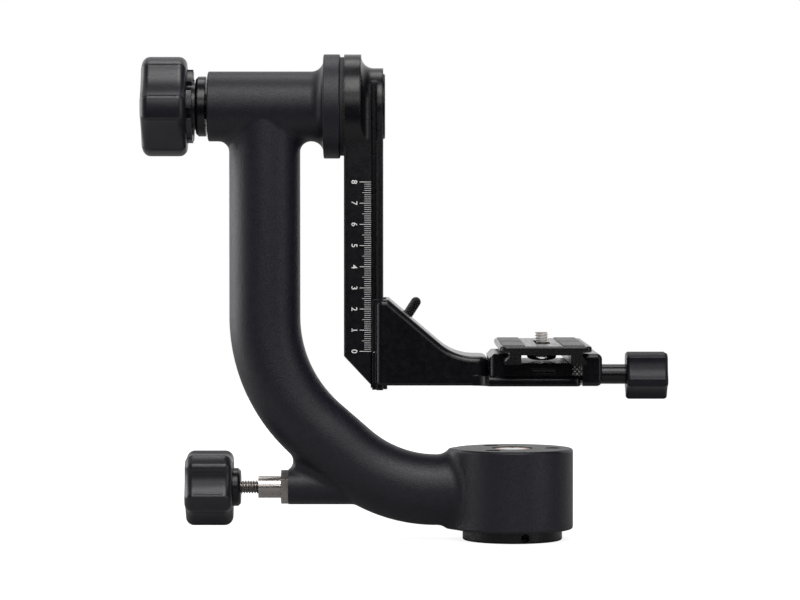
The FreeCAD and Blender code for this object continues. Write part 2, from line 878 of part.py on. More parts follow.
def draw_arm_path(sketch):
    """Centre line of the arm tube: down, round, down the slope, round, level into the housing."""
    turn_angle = 90 - SIZES["slope_angle"]
    slope = math.radians(SIZES["slope_angle"])
    upper = SIZES["upper_bend_radius"]
    lower = SIZES["lower_bend_radius"]
    along = FreeCAD.Vector(math.cos(slope), -math.sin(slope), 0)
    level_start = FreeCAD.Vector(0, level_run_z.number, 0)
    stem_x = SIZES["arm_axis_x"]
    bend = math.radians(turn_angle)
    reach = upper * (1 - math.cos(bend)) + SIZES["slope_length"] * along.x + lower * math.sin(slope)
    level_start.x = stem_x + reach
    slope_end = level_start + FreeCAD.Vector(-lower * math.sin(slope), lower * (1 - math.cos(slope)), 0)
    slope_start = slope_end - along * SIZES["slope_length"]
    stem_end = slope_start + FreeCAD.Vector(-upper * (1 - math.cos(bend)), upper * math.sin(bend), 0)
    upper_middle = stem_end + FreeCAD.Vector(upper, 0, 0)
    lower_middle = level_start + FreeCAD.Vector(0, lower, 0)
    stem_top = FreeCAD.Vector(stem_x, SIZES["tilt_axis_z"], 0)
    level_end = FreeCAD.Vector(0, level_run_z.number, 0)
    out_of_page = FreeCAD.Vector(0, 0, 1)
    sketch.addGeometry(Part.LineSegment(stem_top, stem_end), False)
    upper_circle = Part.Circle(upper_middle, out_of_page, upper)
    sketch.addGeometry(Part.ArcOfCircle(upper_circle, math.pi, math.pi + bend), False)
    sketch.addGeometry(Part.LineSegment(slope_start, slope_end), False)
    lower_circle = Part.Circle(lower_middle, out_of_page, lower)
    sketch.addGeometry(Part.ArcOfCircle(lower_circle, 1.5 * math.pi - slope, 1.5 * math.pi), False)
    sketch.addGeometry(Part.LineSegment(level_start, level_end), False)
    for first, first_end, second, second_end in ((0, 2, 1, 1), (1, 2, 2, 1), (2, 2, 3, 1), (3, 2, 4, 1)):
        sketch.addConstraint(Sketcher.Constraint("Tangent", first, first_end, second, second_end))
    sketch.addConstraint(Sketcher.Constraint("Vertical", 0))
    sketch.addConstraint(Sketcher.Constraint("Horizontal", 4))
    pin_point(sketch, 0, 1, (d.arm_axis_x, d.tilt_axis_z))
    pin_point(sketch, 4, 2, (0, level_run_z))
    tie_measure(sketch, "Radius", 1, d.upper_bend_radius)
    tie_measure(sketch, "Radius", 3, d.lower_bend_radius)
    tie_measure(sketch, "Distance", 2, d.slope_length)


def draw_tube_section(sketch):
    """Oval section of the arm tube at the tilt axis; its long axis lies along the larger size."""
    middle = FreeCAD.Vector(SIZES["arm_axis_x"], 0, 0)
    side_point = middle + FreeCAD.Vector(SIZES["tube_width"] / 2, 0, 0)
    front_point = middle + FreeCAD.Vector(0, SIZES["tube_depth"] / 2, 0)
    wide = SIZES["tube_width"] >= SIZES["tube_depth"]
    ends = (side_point, front_point) if wide else (front_point, side_point)
    sketch.addGeometry(Part.Ellipse(*ends, middle), False)
    sketch.exposeInternalGeometry(0)
    pin_point(sketch, 0, 3, (d.arm_axis_x, 0))
    width_line, depth_line = (1, 2) if wide else (2, 1)
    sketch.addConstraint(Sketcher.Constraint("Horizontal", width_line))
    tie_measure(sketch, "Distance", width_line, d.tube_width)
    tie_measure(sketch, "Distance", depth_line, d.tube_depth)


def arm_tube(body):
    """Sweep the oval section along the centre line."""
    path = new_sketch(body, "XZ_Plane")
    draw_arm_path(path)
    section = new_sketch(body, "XY_Plane", d.tilt_axis_z)
    draw_tube_section(section)
    pipe = body.newObject("PartDesign::AdditivePipe", "Tube")
    pipe.Profile = section
    pipe.Spine = path


def meeting_edges(low, high):
    """Test for the curved edges where two cast shapes meet, inside a box given in X and Z."""
    def test(edge):
        box = edge.BoundBox
        in_x = box.XMin > as_size(low[0]).number and box.XMax < as_size(high[0]).number
        in_z = box.ZMin > as_size(low[1]).number and box.ZMax < as_size(high[1]).number
        plain = isinstance(edge.Curve, (Part.Circle, Part.Line, Part.Ellipse))
        return in_x and in_z and not plain and box.DiagonalLength > SHORTEST_SEAM

    return test


def lies_level(*heights):
    """Test for edges that lie in one of the level planes."""
    def test(edge):
        box = edge.BoundBox
        return box.ZLength < NEARNESS and any(near(box.ZMin, height) for height in heights)

    return test


def cast_barrel(body):
    """Barrel and flange on top of the arm tube."""
    centre = (0, d.tilt_axis_z)
    add_round(body, "X", d.barrel_left_x, d.flange_right_x, centre, barrel_radius)
    reach = d.tube_width / 2 + SEARCH_MARGIN
    low = (d.arm_axis_x - reach, d.tilt_axis_z - 2 * barrel_radius)
    high = (d.arm_axis_x + reach, d.tilt_axis_z + SEARCH_MARGIN)
    round_edges(body, meeting_edges(low, high), d.junction_fillet)
    add_round(body, "X", d.flange_left_x, d.flange_right_x, centre, d.flange_radius)
    round_edges(body, circle_at("X", d.flange_left_x, barrel_radius), d.flange_fillet)
    rims = any_of(
        circle_at("X", d.flange_left_x, d.flange_radius),
        circle_at("X", d.flange_right_x, d.flange_radius),
        circle_at("X", d.barrel_left_x, barrel_radius),
    )
    round_edges(body, rims, d.casting_rounding)


def cast_boss(body):
    """Boss of the pan lock, blended into the arm tube."""
    centre = (0, d.lock_axis_z)
    add_round(body, "X", d.boss_left_x, d.boss_right_x, centre, d.boss_radius)
    low = (d.boss_left_x + OVERSHOOT, d.lock_axis_z - 2 * d.boss_radius)
    high = (d.boss_right_x, d.lock_axis_z + 2 * d.boss_radius)
    round_edges(body, meeting_edges(low, high), d.boss_fillet)


def cast_housing(body):
    """Base housing: cast tall so that the tube's blend is cut flat, top and bottom."""
    spare = 2 * d.neck_fillet
    foot = d.housing_bottom_z - spare
    head = housing_top_z + spare
    add_round(body, "Z", foot, head, (0, 0), d.housing_radius)
    low = (-d.housing_radius - SEARCH_MARGIN, foot)
    high = (0, head)
    round_edges(body, meeting_edges(low, high), d.neck_fillet)
    side = d.housing_radius + d.neck_fillet + OVERSHOOT
    square = rectangle((-side, -side), (side, side))
    cut_block(body, "Z", housing_top_z, head + OVERSHOOT, square)
    cut_block(body, "Z", foot - OVERSHOOT, d.housing_bottom_z, square)
    round_edges(body, lies_level(d.housing_bottom_z, housing_top_z), d.housing_rounding)


def arm_casting():
    """Barrel, flange, oval tube, housing and boss in one casting."""
    body = new_body("arm_casting")
    arm_tube(body)
    cast_barrel(body)
    cast_boss(body)
    cast_housing(body)
    bore_housing(body)
    bore_barrel(body)
    bore_lock(body)
    finish(body, "arm_casting")


def bore_housing(body):
    """Cavity of the base housing, the nut's window and the sunk screw holes."""
    cut_round(body, "Z", d.housing_bottom_z, ceiling_z, (0, 0), d.cavity_radius)
    cut_round(body, "Z", ceiling_z, housing_top_z, (0, 0), d.nut_window_radius)
    centre = (d.carrier_screw_circle, 0)
    hole = cut_round(body, "Z", ceiling_z, housing_top_z, centre, d.screw_shank_radius)
    repeat(body, hole, "Z", d.carrier_screw_count)
    sink = cut_round(
        body, "Z", housing_top_z - d.counterbore_depth, housing_top_z, centre, d.counterbore_radius
    )
    repeat(body, sink, "Z", d.carrier_screw_count)


def bore_barrel(body):
    """Through bore of the barrel, with a pocket for a ball bearing at each end."""
    pocket = d.ball_bearing_width + d.ball_bearing_recess
    centre = (0, d.tilt_axis_z)
    cut_round(body, "X", d.barrel_left_x, d.flange_right_x, centre, d.barrel_bore_radius)
    cut_round(body, "X", d.barrel_left_x, d.barrel_left_x + pocket, centre, d.ball_bearing_radius)
    cut_round(body, "X", d.flange_right_x - pocket, d.flange_right_x, centre, d.ball_bearing_radius)


def bore_lock(body):
    """Long bore for the pan lock's push rod, and the boss's thread."""
    centre = (0, d.lock_axis_z)
    thread_end = d.boss_left_x + d.lock_bushing_thread_length
    rod_end = -d.cavity_radius + OVERSHOOT
    cut_round(body, "X", d.boss_left_x, rod_end, centre, d.lock_rod_radius + d.small_gap)
    cut_round(body, "X", d.boss_left_x, thread_end, centre, d.lock_bushing_thread_radius)


# Pan lock


def pan_lock_bushing():
    """Stainless bushing in the boss: thread, hex collar and sleeve."""
    collar_left = d.boss_left_x - d.lock_collar_length
    sleeve_left = collar_left - d.lock_sleeve_length
    thread_end = d.boss_left_x + d.lock_bushing_thread_length
    centre = (0, d.lock_axis_z)
    thread = cylinder("X", d.boss_left_x, thread_end, centre, d.lock_bushing_thread_radius)
    collar = hexagon("X", collar_left, d.boss_left_x, centre, d.lock_collar_across_corners / 2)
    sleeve = cylinder("X", sleeve_left, collar_left, centre, d.lock_sleeve_radius)
    bore = cylinder("X", sleeve_left, thread_end, centre, d.lock_stem_radius + d.running_clearance)
    finish(cut(join(thread, collar, sleeve), bore), "pan_lock_bushing")


def pan_lock_rod():
    """Push rod through the arm and the brass shoe that grips the spindle."""
    shoe_right = -d.spindle_radius - d.lock_shoe_gap
    shoe_left = shoe_right - d.lock_shoe_length
    ring("pan_lock_push_rod", "X", d.lock_rod_left_x, shoe_left, 0, d.lock_rod_radius, lock_centre)
    ring("pan_lock_shoe", "X", shoe_left, shoe_right, 0, d.lock_rod_radius, lock_centre)


def flute_knob(body, radius, half_angle, depth, start, end, land_rounding, rounding):
    """Cut hollow flutes in a turned knob, then round the lands and both rims."""
    chord = radius * sine(half_angle)
    hollow = depth - radius * (1 - cosine(half_angle))
    flute = (chord * chord + hollow * hollow) / (hollow * 2)
    middle = radius - depth + flute
    feature = cut_round(body, "X", start, end, (0, middle), flute)
    repeat(body, feature, "X", d.knob_lobes)

    def on_land(edge):
        point = edge.CenterOfMass
        lengthwise = isinstance(edge.Curve, Part.Line) and abs(edge.Curve.Direction.x) > 0.999
        return lengthwise and near(math.hypot(point.y, point.z), radius)

    def on_rim(edge):
        middle_point = edge.valueAt((edge.FirstParameter + edge.LastParameter) / 2)
        outside = math.hypot(middle_point.y, middle_point.z) > (radius - depth).number - NEARNESS
        level = edge.BoundBox.XLength < NEARNESS
        return level and outside and (near(middle_point.x, start) or near(middle_point.x, end))

    round_edges(body, on_land, land_rounding)
    round_edges(body, on_rim, rounding)


def pan_lock_knob():
    """Knob with its hub and threaded stem."""
    right = d.lock_knob_left_x + d.lock_knob_width
    hub_left = right - d.lock_hub_depth
    body = turned_body("pan_lock_knob", lock_centre, d.lock_knob_turn)
    turn(body, "X", [
        (d.lock_knob_left_x, 0),
        (d.lock_knob_left_x, d.lock_knob_radius),
        (right, d.lock_knob_radius),
        (right, d.lock_hub_radius),
        (hub_left, d.lock_hub_radius),
        (hub_left, 0),
    ])
    flute_knob(
        body, d.lock_knob_radius, d.lock_flute_angle, d.lock_flute_depth,
        d.lock_knob_left_x, right, d.knob_land_rounding, d.knob_rounding,
    )
    finish(body, "pan_lock_knob")
    hub = new_body("pan_lock_hub", lock_centre)
    turn(hub, "X", tube_corners(hub_left, d.lock_hub_right_x, d.lock_stem_radius, d.lock_hub_radius))
    bevel_edges(hub, circle_at("X", d.lock_hub_right_x, d.lock_hub_radius), d.lock_hub_bevel)
    finish(hub, "pan_lock_hub")
    stem_right = d.lock_rod_left_x - d.small_gap
    ring("pan_lock_stem", "X", hub_left, stem_right, 0, d.lock_stem_radius, lock_centre)


# Tilt axis


def ball_bearings():
    """The two ball bearings of the barrel: rings and balls."""
    inner = d.axle_radius
    outer = d.ball_bearing_radius
    pitch = (inner + outer) / 2
    left = d.barrel_left_x + d.ball_bearing_recess
    right = d.flange_right_x - d.ball_bearing_recess - d.ball_bearing_width
    for name, start in (("rear", left), ("front", right)):
        end = start + d.ball_bearing_width
        ring(f"{name}_bearing_inner_ring", "X", start, end, inner, inner + d.ball_bearing_ring, tilt_centre)
        ring(f"{name}_bearing_outer_ring", "X", start, end, outer - d.ball_bearing_ring, outer, tilt_centre)
        balls = []
        for number in range(int(SIZES["ball_count"])):
            angle = as_size(number) * 360 / d.ball_count
            ball = doc.addObject("Part::Sphere", "Ball")
            bind(ball, "Radius", d.ball_radius)
            height = d.tilt_axis_z + pitch * sine(angle)
            place(ball, (start + d.ball_bearing_width / 2, pitch * cosine(angle), height))
            balls.append(ball)
        finish(group(balls), f"{name}_bearing_balls")
    spacer = d.axle_radius + d.bearing_spacer_wall
    ring("bearing_spacer", "X", left + d.ball_bearing_width, right, d.axle_radius, spacer, tilt_centre)
    front = right + d.ball_bearing_width
    ring("axle_spacer_ring", "X", front, d.disc_left_x, d.axle_radius, spacer, tilt_centre)


def tilt_axle():
    """Axle with a threaded end for the knob and a tapped hole for the axle screw."""
    body = new_body("tilt_axle", tilt_centre)
    turn(body, "X", [
        (d.axle_left_x, 0),
        (d.axle_left_x, d.axle_thread_radius),
        (d.axle_shoulder_x, d.axle_thread_radius),
        (d.axle_shoulder_x, d.axle_radius),
        (d.axle_right_x, d.axle_radius),
        (d.axle_right_x, 0),
    ])
    hole = d.axle_right_x - d.axle_screw_length
    cut_round(body, "X", hole, d.axle_right_x, (0, 0), d.axle_screw_radius)
    finish(body, "tilt_axle")


def axle_screw():
    """Cap screw that holds the swing arm on the axle."""
    centre = (0, d.tilt_axis_z)
    head_left = d.axle_right_x + d.rail_web
    head_right = head_left + d.axle_screw_head_height
    head = cylinder("X", head_left, head_right, centre, d.axle_screw_head_radius)
    shank_left = head_left - d.axle_screw_length
    shank = cylinder("X", shank_left, head_left, centre, d.axle_screw_radius)
    socket_left = head_right - d.axle_screw_socket_depth
    socket = hexagon("X", socket_left, head_right, centre, d.axle_screw_head_radius / 2)
    finish(cut(join(head, shank), socket), "axle_screw")


def tilt_lock():
    """Pressure collar, knob with castellated back, and its threaded insert."""
    bore = d.axle_radius + d.running_clearance
    collar = new_body("pressure_collar", tilt_centre)
    turn(collar, "X", tube_corners(d.collar_left_x, d.collar_right_x, bore, d.collar_radius))
    bevel_edges(collar, circle_at("X", d.collar_left_x, d.collar_radius), d.collar_chamfer)
    finish(collar, "pressure_collar")
    right = d.tilt_knob_left_x + d.tilt_knob_width
    crown_right = right + d.tilt_crown_height
    insert_left = d.axle_left_x - d.tilt_insert_end_gap
    hub_right = d.collar_left_x - d.small_gap
    crown_inner = d.tilt_crown_radius - d.tilt_crown_wall
    knob = turned_body("tilt_knob", tilt_centre, d.tilt_knob_turn)
    turn(knob, "X", [
        (d.tilt_knob_left_x, 0),
        (d.tilt_knob_left_x, d.tilt_knob_radius),
        (right, d.tilt_knob_radius),
        (right, d.tilt_crown_radius),
        (crown_right, d.tilt_crown_radius),
        (crown_right, crown_inner),
        (right, crown_inner),
        (right, d.tilt_hub_radius),
        (hub_right, d.tilt_hub_radius),
        (hub_right, d.tilt_insert_radius),
        (insert_left, d.tilt_insert_radius),
        (insert_left, 0),
    ])
    flute_knob(
        knob, d.tilt_knob_radius, d.tilt_flute_angle, d.tilt_flute_depth,
        d.tilt_knob_left_x, right, d.knob_land_rounding, d.knob_rounding,
    )
    half_slot = d.tilt_crown_slot / 2
    slot = cut_block(
        knob, "X", right, crown_right,
        rectangle((-half_slot, crown_inner - OVERSHOOT), (half_slot, d.tilt_crown_radius + OVERSHOOT)),
    )
    repeat(knob, slot, "X", d.tilt_crown_teeth)
    finish(knob, "tilt_knob")
    insert = new_body("tilt_knob_insert", tilt_centre)
    thread = d.axle_thread_radius + d.running_clearance
    turn(insert, "X", tube_corners(insert_left, hub_right, thread, d.tilt_insert_radius))
    finish(insert, "tilt_knob_insert")


# Swing arm


def swing_arm():
    """Disc and grooved plate in one piece."""
    body = new_body("swing_arm")
    centre = (0, d.tilt_axis_z)
    width = d.rail_half_width
    rail_outline = rectangle((-width, d.rail_bottom_z), (width, d.tilt_axis_z))
    add_block(body, "X", d.disc_left_x, d.rail_right_x, rail_outline)
    add_round(body, "X", d.disc_left_x, d.rail_right_x, centre, d.rail_end_radius)
    disc_right = d.disc_left_x + d.disc_thickness
    add_round(body, "X", d.disc_left_x, disc_right, centre, d.disc_radius)

    def round_the_plate(edge):
        box = edge.BoundBox
        on_disc = box.XLength < NEARNESS and near(box.XMin, disc_right)
        return on_disc and max(-box.YMin, box.YMax) < d.rail_end_radius.number + NEARNESS

    round_edges(body, round_the_plate, d.disc_fillet)
    left_edges = [straight_at("Z", d.disc_left_x, width * side) for side in (-1, 1)]
    round_edges(body, any_of(*left_edges), d.rail_rounding)
    right_edges = [straight_at("Z", d.rail_right_x, width * side) for side in (-1, 1)]
    round_edges(body, any_of(*right_edges), d.rail_lip_rounding)
    groove_left = rail_lip_left_x - d.groove_width
    top = d.tilt_axis_z + d.rail_end_radius
    for side in (-1, 1):
        inner = (d.rail_half_width - d.groove_depth) * side
        outer = (d.rail_half_width + OVERSHOOT) * side
        cut_block(
            body, "X", groove_left, rail_lip_left_x, rectangle((inner, d.rail_bottom_z), (outer, top))
        )
    cut_block(body, "Y", -width, width, [
        (d.disc_left_x, d.rail_bottom_z),
        (d.disc_left_x + d.rail_chamfer_x, d.rail_bottom_z),
        (d.disc_left_x + d.rail_chamfer_x, d.rail_bottom_z + d.rail_toe_height),
        (d.disc_left_x, d.rail_bottom_z + d.rail_chamfer_z),
    ])
    web_right = d.axle_right_x + d.rail_web
    cut_round(body, "X", d.disc_left_x, d.axle_right_x, centre, d.axle_radius)
    cut_round(body, "X", d.axle_right_x, web_right, centre, d.axle_screw_radius)
    cut_round(body, "X", web_right, d.rail_right_x, centre, d.axle_screw_head_radius + d.wide_gap)
    spigot_left = d.rail_right_x - d.cap_spigot_depth
    cut_round(body, "X", spigot_left, d.rail_right_x, centre, d.cap_spigot_radius)
    stop_left = d.rail_right_x - d.stop_screw_depth
    stop_z = d.bracket_bottom_z - d.small_gap - d.stop_screw_radius
    cut_round(body, "X", stop_left, d.rail_right_x, (0, stop_z), d.stop_screw_radius / 2)
    finish(body, "swing_arm")


def swing_arm_trim():
    """Friction washer, end cap and the platform's stop screw."""
    washer_left = d.flange_right_x + d.small_gap
    ring(
        "friction_washer", "X", washer_left, d.disc_left_x,
        d.washer_bore_radius, d.washer_radius, tilt_centre,
    )
    cap = new_body("axle_end_cap", tilt_centre)
    cap_right = d.rail_right_x + d.cap_height
    spigot_left = d.rail_right_x - d.cap_spigot_depth
    turn(cap, "X", [
        (spigot_left, 0),
        (spigot_left, d.cap_spigot_radius),
        (d.rail_right_x, d.cap_spigot_radius),
        (d.rail_right_x, d.cap_radius),
        (cap_right, d.cap_radius),
        (cap_right, 0),
    ])
    round_edges(cap, circle_at("X", cap_right, d.cap_radius), d.cap_rounding)
    finish(cap, "axle_end_cap")
    stop_z = d.bracket_bottom_z - d.small_gap - d.stop_screw_radius
    centre = (0, stop_z)
    head_right = d.rail_right_x + d.stop_screw_head
    head = cylinder("X", d.rail_right_x, head_right, centre, d.stop_screw_radius)
    shank_left = d.rail_right_x - d.stop_screw_depth
    shank = cylinder("X", shank_left, d.rail_right_x, centre, d.stop_screw_radius / 2)
    finish(join(head, shank), "rail_stop_screw")


# Platform


def cut_rail_channel(body):
    """Open the channel for the rail's lip and the throat between the bracket's own lips."""
    lip_right = rail_lip_left_x - d.wide_gap
    floor_x = d.rail_right_x + d.small_gap
    flange = d.rail_half_width + d.wide_gap
    throat = d.rail_half_width - d.groove_depth + d.wide_gap
    bottom = d.bracket_bottom_z
    cut_block(body, "Y", -flange, flange, rectangle((lip_right, bottom), (floor_x, bracket_top_z)))
    cut_block(body, "Y", -throat, throat, rectangle((d.bracket_left_x, bottom), (floor_x, bracket_top_z)))


def platform_bracket():
    """Bracket that slides on the swing arm and carries the clamp's deck."""
    body = new_body("platform_bracket")
    half = d.bracket_half_width
    add_block(body, "Y", -half, half, [
        (d.bracket_left_x, d.bracket_bottom_z),
        (d.bracket_arm_end_x, d.bracket_bottom_z),
        (d.bracket_arm_end_x, platform_top_z),
        (d.bracket_knee_x, platform_top_z),
        (d.bracket_shelf_x, bracket_top_z),
        (d.bracket_left_x, bracket_top_z),
    ])
    round_edges(body, straight_at("Y", d.bracket_knee_x, platform_top_z), d.bracket_knee_radius)
    shoulder_x = d.bracket_left_x + d.hook_width
    hook_side = d.rail_half_width + d.wide_gap + d.hook_wall
    step = rectangle((d.bracket_left_x, -half), (shoulder_x, -hook_side))
    cut_block(body, "Z", d.bracket_bottom_z, bracket_top_z, step)
    round_edges(body, straight_at("Z", shoulder_x, -half), d.bracket_edge_rounding)
    arm_end = any_of(*[straight_at("Z", d.bracket_arm_end_x, half * side) for side in (-1, 1)])
    round_edges(body, arm_end, d.bracket_end_rounding)
    round_edges(body, on_bracket_top, d.bracket_rounding)
    round_edges(body, on_bracket_foot, d.bracket_foot_rounding)
    flare = d.deck_half_width - half
    flare_left = d.bracket_arm_end_x - flare
    deck = rectangle((flare_left, -d.deck_half_width), (d.deck_right_x, d.deck_half_width))
    add_block(body, "Z", d.bracket_bottom_z, deck_top_z, deck)
    for side in (-1, 1):
        centre = (flare_left, d.deck_half_width * side)
        cut_round(body, "Z", d.bracket_bottom_z, deck_top_z, centre, flare)
    corners = any_of(
        straight_at("Z", d.deck_right_x, d.deck_half_width),
        straight_at("Z", d.deck_right_x, -d.deck_half_width),
    )
    round_edges(body, corners, d.deck_rounding)
    round_edges(body, straight_at("Y", d.deck_right_x, deck_top_z), d.deck_top_rounding)
    round_edges(body, straight_at("Y", d.deck_right_x, d.bracket_bottom_z), d.deck_foot_rounding)
    keel_side = d.clamp_keel_half_width + d.wide_gap
    keel_left = d.clamp_keel_left_x - d.wide_gap
    keel_slot = rectangle((keel_left, -keel_side), (d.deck_right_x, keel_side))
    cut_block(body, "Z", d.bracket_bottom_z, deck_top_z, keel_slot)
    cut_rail_channel(body)
    jaw_gap = d.wide_gap
    jaw_side = half - d.rail_jaw_thickness - jaw_gap
    pocket = rectangle((d.bracket_left_x, d.bracket_bottom_z), (d.rail_jaw_right_x + jaw_gap, bracket_top_z))
    cut_block(body, "Y", jaw_side, half, pocket)
    lip = rectangle((d.bracket_left_x, d.bracket_bottom_z), (d.rail_right_x, bracket_top_z))
    cut_block(body, "Y", 0, jaw_side, lip)
    relief = rectangle(
        (d.rail_right_x, d.bracket_bottom_z), (d.rail_right_x + d.bracket_relief_depth, bracket_top_z)
    )
    cut_block(body, "Y", -d.bracket_relief_half_width, d.bracket_relief_half_width, relief)
    screw_start = half - d.lever_screw_depth - d.lever_screw_end_gap
    pivot = (d.lever_pivot_x, d.lever_pivot_z)
    cut_round(body, "Y", screw_start, half, pivot, d.lever_screw_radius + d.running_clearance)
    for z in dowel_heights():
        centre = (d.lever_pivot_x, z)
        cut_round(body, "Y", jaw_side - d.dowel_depth, jaw_side, centre, d.dowel_radius)
    for x, y in clamp_bolt_places():
        cut_round(body, "Z", d.bracket_bottom_z, deck_top_z, (x, y), d.screw_shank_radius + d.small_gap)
        sink_top = d.bracket_bottom_z + d.clamp_bolt_head_height
        cut_round(body, "Z", d.bracket_bottom_z, sink_top, (x, y), d.counterbore_radius)
    finish(body, "platform_bracket")


def on_bracket_top(edge):
    """Test for the long edges of the bracket's top, on both sides."""
    side = SIZES["bracket_half_width"]
    box = edge.BoundBox
    on_side = box.YLength < NEARNESS and near(abs(box.YMin), side)
    lengthwise = box.XLength > NEARNESS
    return on_side and lengthwise and box.ZMin > platform_top_z.number - NEARNESS


def on_bracket_foot(edge):
    """Test for the long lower edges of the bracket, on both sides."""
    side = SIZES["bracket_half_width"]
    box = edge.BoundBox
    on_side = box.YLength < NEARNESS and near(abs(box.YMin), side)
    level = box.ZLength < NEARNESS and near(box.ZMin, d.bracket_bottom_z)
    return on_side and level and box.XLength > NEARNESS


def dowel_heights():
    """Heights of the two dowels of the channel jaw."""
    return (d.lever_pivot_z - d.lower_dowel_drop, d.lever_pivot_z + d.upper_dowel_rise)


def clamp_bolt_places():
    """Centres of the four bolts between deck and clamp."""
    left = d.clamp_bolt_left_x
    right = left + d.clamp_bolt_spacing_x
    return [(x, d.clamp_bolt_y * side) for x in (left, right) for side in (-1, 1)]


def slope_height(x):
    """Height of the bracket's sloping top at a place."""
    fall = (bracket_top_z - platform_top_z) / (d.bracket_knee_x - d.bracket_shelf_x)
    return bracket_top_z - (x - d.bracket_shelf_x) * fall


def rail_jaw():
    """Loose cheek of the bracket's channel, with its lip in the rail's far groove."""
    body = new_body("rail_jaw")
    half = d.bracket_half_width
    inner = half - d.rail_jaw_thickness
    right = d.rail_jaw_right_x
    add_block(body, "Y", inner, half, [
        (d.bracket_left_x, d.bracket_bottom_z),
        (right, d.bracket_bottom_z),
        (right, slope_height(right)),
        (d.bracket_shelf_x, bracket_top_z),
        (d.bracket_left_x, bracket_top_z),
    ])
    lip_right = rail_lip_left_x - d.wide_gap
    throat = d.rail_half_width - d.groove_depth + d.wide_gap
    lip = rectangle((d.bracket_left_x, d.bracket_bottom_z), (lip_right, bracket_top_z))
    add_block(body, "Y", throat, inner, lip)
    pivot = (d.lever_pivot_x, d.lever_pivot_z)
    cut_round(body, "Y", inner, half, pivot, d.lever_screw_radius + d.running_clearance)
    for z in dowel_heights():
        cut_round(body, "Y", inner, half, (d.lever_pivot_x, z), d.dowel_radius + d.running_clearance)
    finish(body, "rail_jaw")


def rail_jaw_dowels():
    """Two dowels in the bracket that guide the channel jaw."""
    jaw_side = d.bracket_half_width - d.rail_jaw_thickness - d.wide_gap
    start = jaw_side - d.dowel_depth
    end = d.bracket_half_width - d.wide_gap
    dowels = []
    for z in dowel_heights():
        dowels.append(cylinder("Y", start, end, (d.lever_pivot_x, z), d.dowel_radius))
    finish(group(dowels), "rail_jaw_dowels")


def height_lever():
    """Lever behind the bracket: hub, rod with a round end, and its screw."""
    hub_start = d.bracket_half_width + d.small_gap
    hub_end = hub_start + d.lever_hub_height
    middle = (hub_start + hub_end) / 2
    pivot = (d.lever_pivot_x, d.lever_pivot_z)
    hub = cylinder("Y", hub_start, hub_end, pivot, d.lever_hub_radius)
    tip_x = d.lever_pivot_x + d.lever_rod_length * cosine(d.lever_rod_angle)
    tip_z = d.lever_pivot_z + d.lever_rod_length * sine(d.lever_rod_angle)
    rod = doc.addObject("Part::Cylinder", "Rod")
    rod.Placement = FreeCAD.Placement(FreeCAD.Vector(), FreeCAD.Rotation(FreeCAD.Vector(0, 1, 0), 1))
    place(rod, (d.lever_pivot_x, middle, d.lever_pivot_z))
    bind(rod, "Placement.Rotation.Angle", 90 - d.lever_rod_angle)
    bind(rod, "Radius", d.lever_rod_radius)
    bind(rod, "Height", d.lever_rod_length)
    tip = doc.addObject("Part::Sphere", "Tip")
    bind(tip, "Radius", d.lever_rod_radius)
    place(tip, (tip_x, middle, tip_z))
    finish(join(hub, rod, tip), "height_lever")
    start = hub_start - d.lever_screw_depth
    finish(cylinder("Y", start, hub_start, pivot, d.lever_screw_radius), "height_lever_screw")


# Quick-release clamp


def clamp_body():
    """Clamp with its fixed jaw and the keel that takes the screw."""
    body = new_body("clamp_body")
    half = d.deck_half_width - d.clamp_side_inset
    neck_left = d.plate_centre_x - d.neck_half_width - d.moving_jaw_gap
    foot_left = d.plate_centre_x - d.foot_half_width - d.moving_jaw_gap
    lip_bottom = d.clamp_top_z - d.jaw_lip_height
    corner = d.clamp_corner
    add_block(body, "Y", -half, half, [
        (d.clamp_left_x, deck_top_z),
        (d.clamp_right_x, deck_top_z),
        (d.clamp_right_x, d.clamp_floor_z),
        (foot_left, d.clamp_floor_z),
        (foot_left, lip_bottom - flank),
        (neck_left, lip_bottom),
        (neck_left, d.clamp_top_z),
        (d.clamp_left_x + corner, d.clamp_top_z),
        (d.clamp_left_x, d.clamp_top_z - corner),
    ])
    left_edges = [straight_at("Z", d.clamp_left_x, half * side) for side in (-1, 1)]
    round_edges(body, any_of(*left_edges), d.clamp_side_rounding)
    keel_bottom = d.bracket_bottom_z + d.wide_gap
    keel = rectangle((d.clamp_keel_left_x, keel_bottom), (d.clamp_right_x, deck_top_z))
    add_block(body, "Y", -d.clamp_keel_half_width, d.clamp_keel_half_width, keel)
    screw = d.clamp_screw_radius + d.running_clearance
    cut_round(body, "X", d.clamp_bore_left_x, d.clamp_right_x, (0, d.clamp_screw_z), screw)
    for side in (-1, 1):
        pin = (d.guide_pin_y * side, d.guide_pin_z)
        cut_round(body, "X", d.guide_pin_left_x, d.clamp_right_x, pin, d.guide_pin_radius)
    bolt_top = d.bracket_bottom_z + d.clamp_bolt_head_height + d.clamp_bolt_length
    for centre in clamp_bolt_places():
        cut_round(body, "Z", deck_top_z, bolt_top, centre, d.screw_shank_radius)
    left = d.scoop_x - d.scoop_length / 2
    right = d.scoop_x + d.scoop_length / 2
    cut_round(body, "X", left, right, (-half - d.scoop_stand_off, d.scoop_z), d.scoop_radius)
    finish(body, "clamp_body")


def clamp_bolts():
    """Four bolts that hold the clamp on the deck from below."""
    head_bottom = d.bracket_bottom_z + d.small_gap
    head_top = d.bracket_bottom_z + d.clamp_bolt_head_height
    socket_top = head_bottom + d.clamp_bolt_socket_depth
    bolts = []
    for centre in clamp_bolt_places():
        head = cylinder("Z", head_bottom, head_top, centre, d.screw_head_radius)
        shank = cylinder("Z", head_top, head_top + d.clamp_bolt_length, centre, d.screw_shank_radius)
        socket = hexagon("Z", head_bottom, socket_top, centre, d.screw_socket_radius)
        bolts.append(cut(join(head, shank), socket))
    finish(group(bolts), "clamp_bolts")


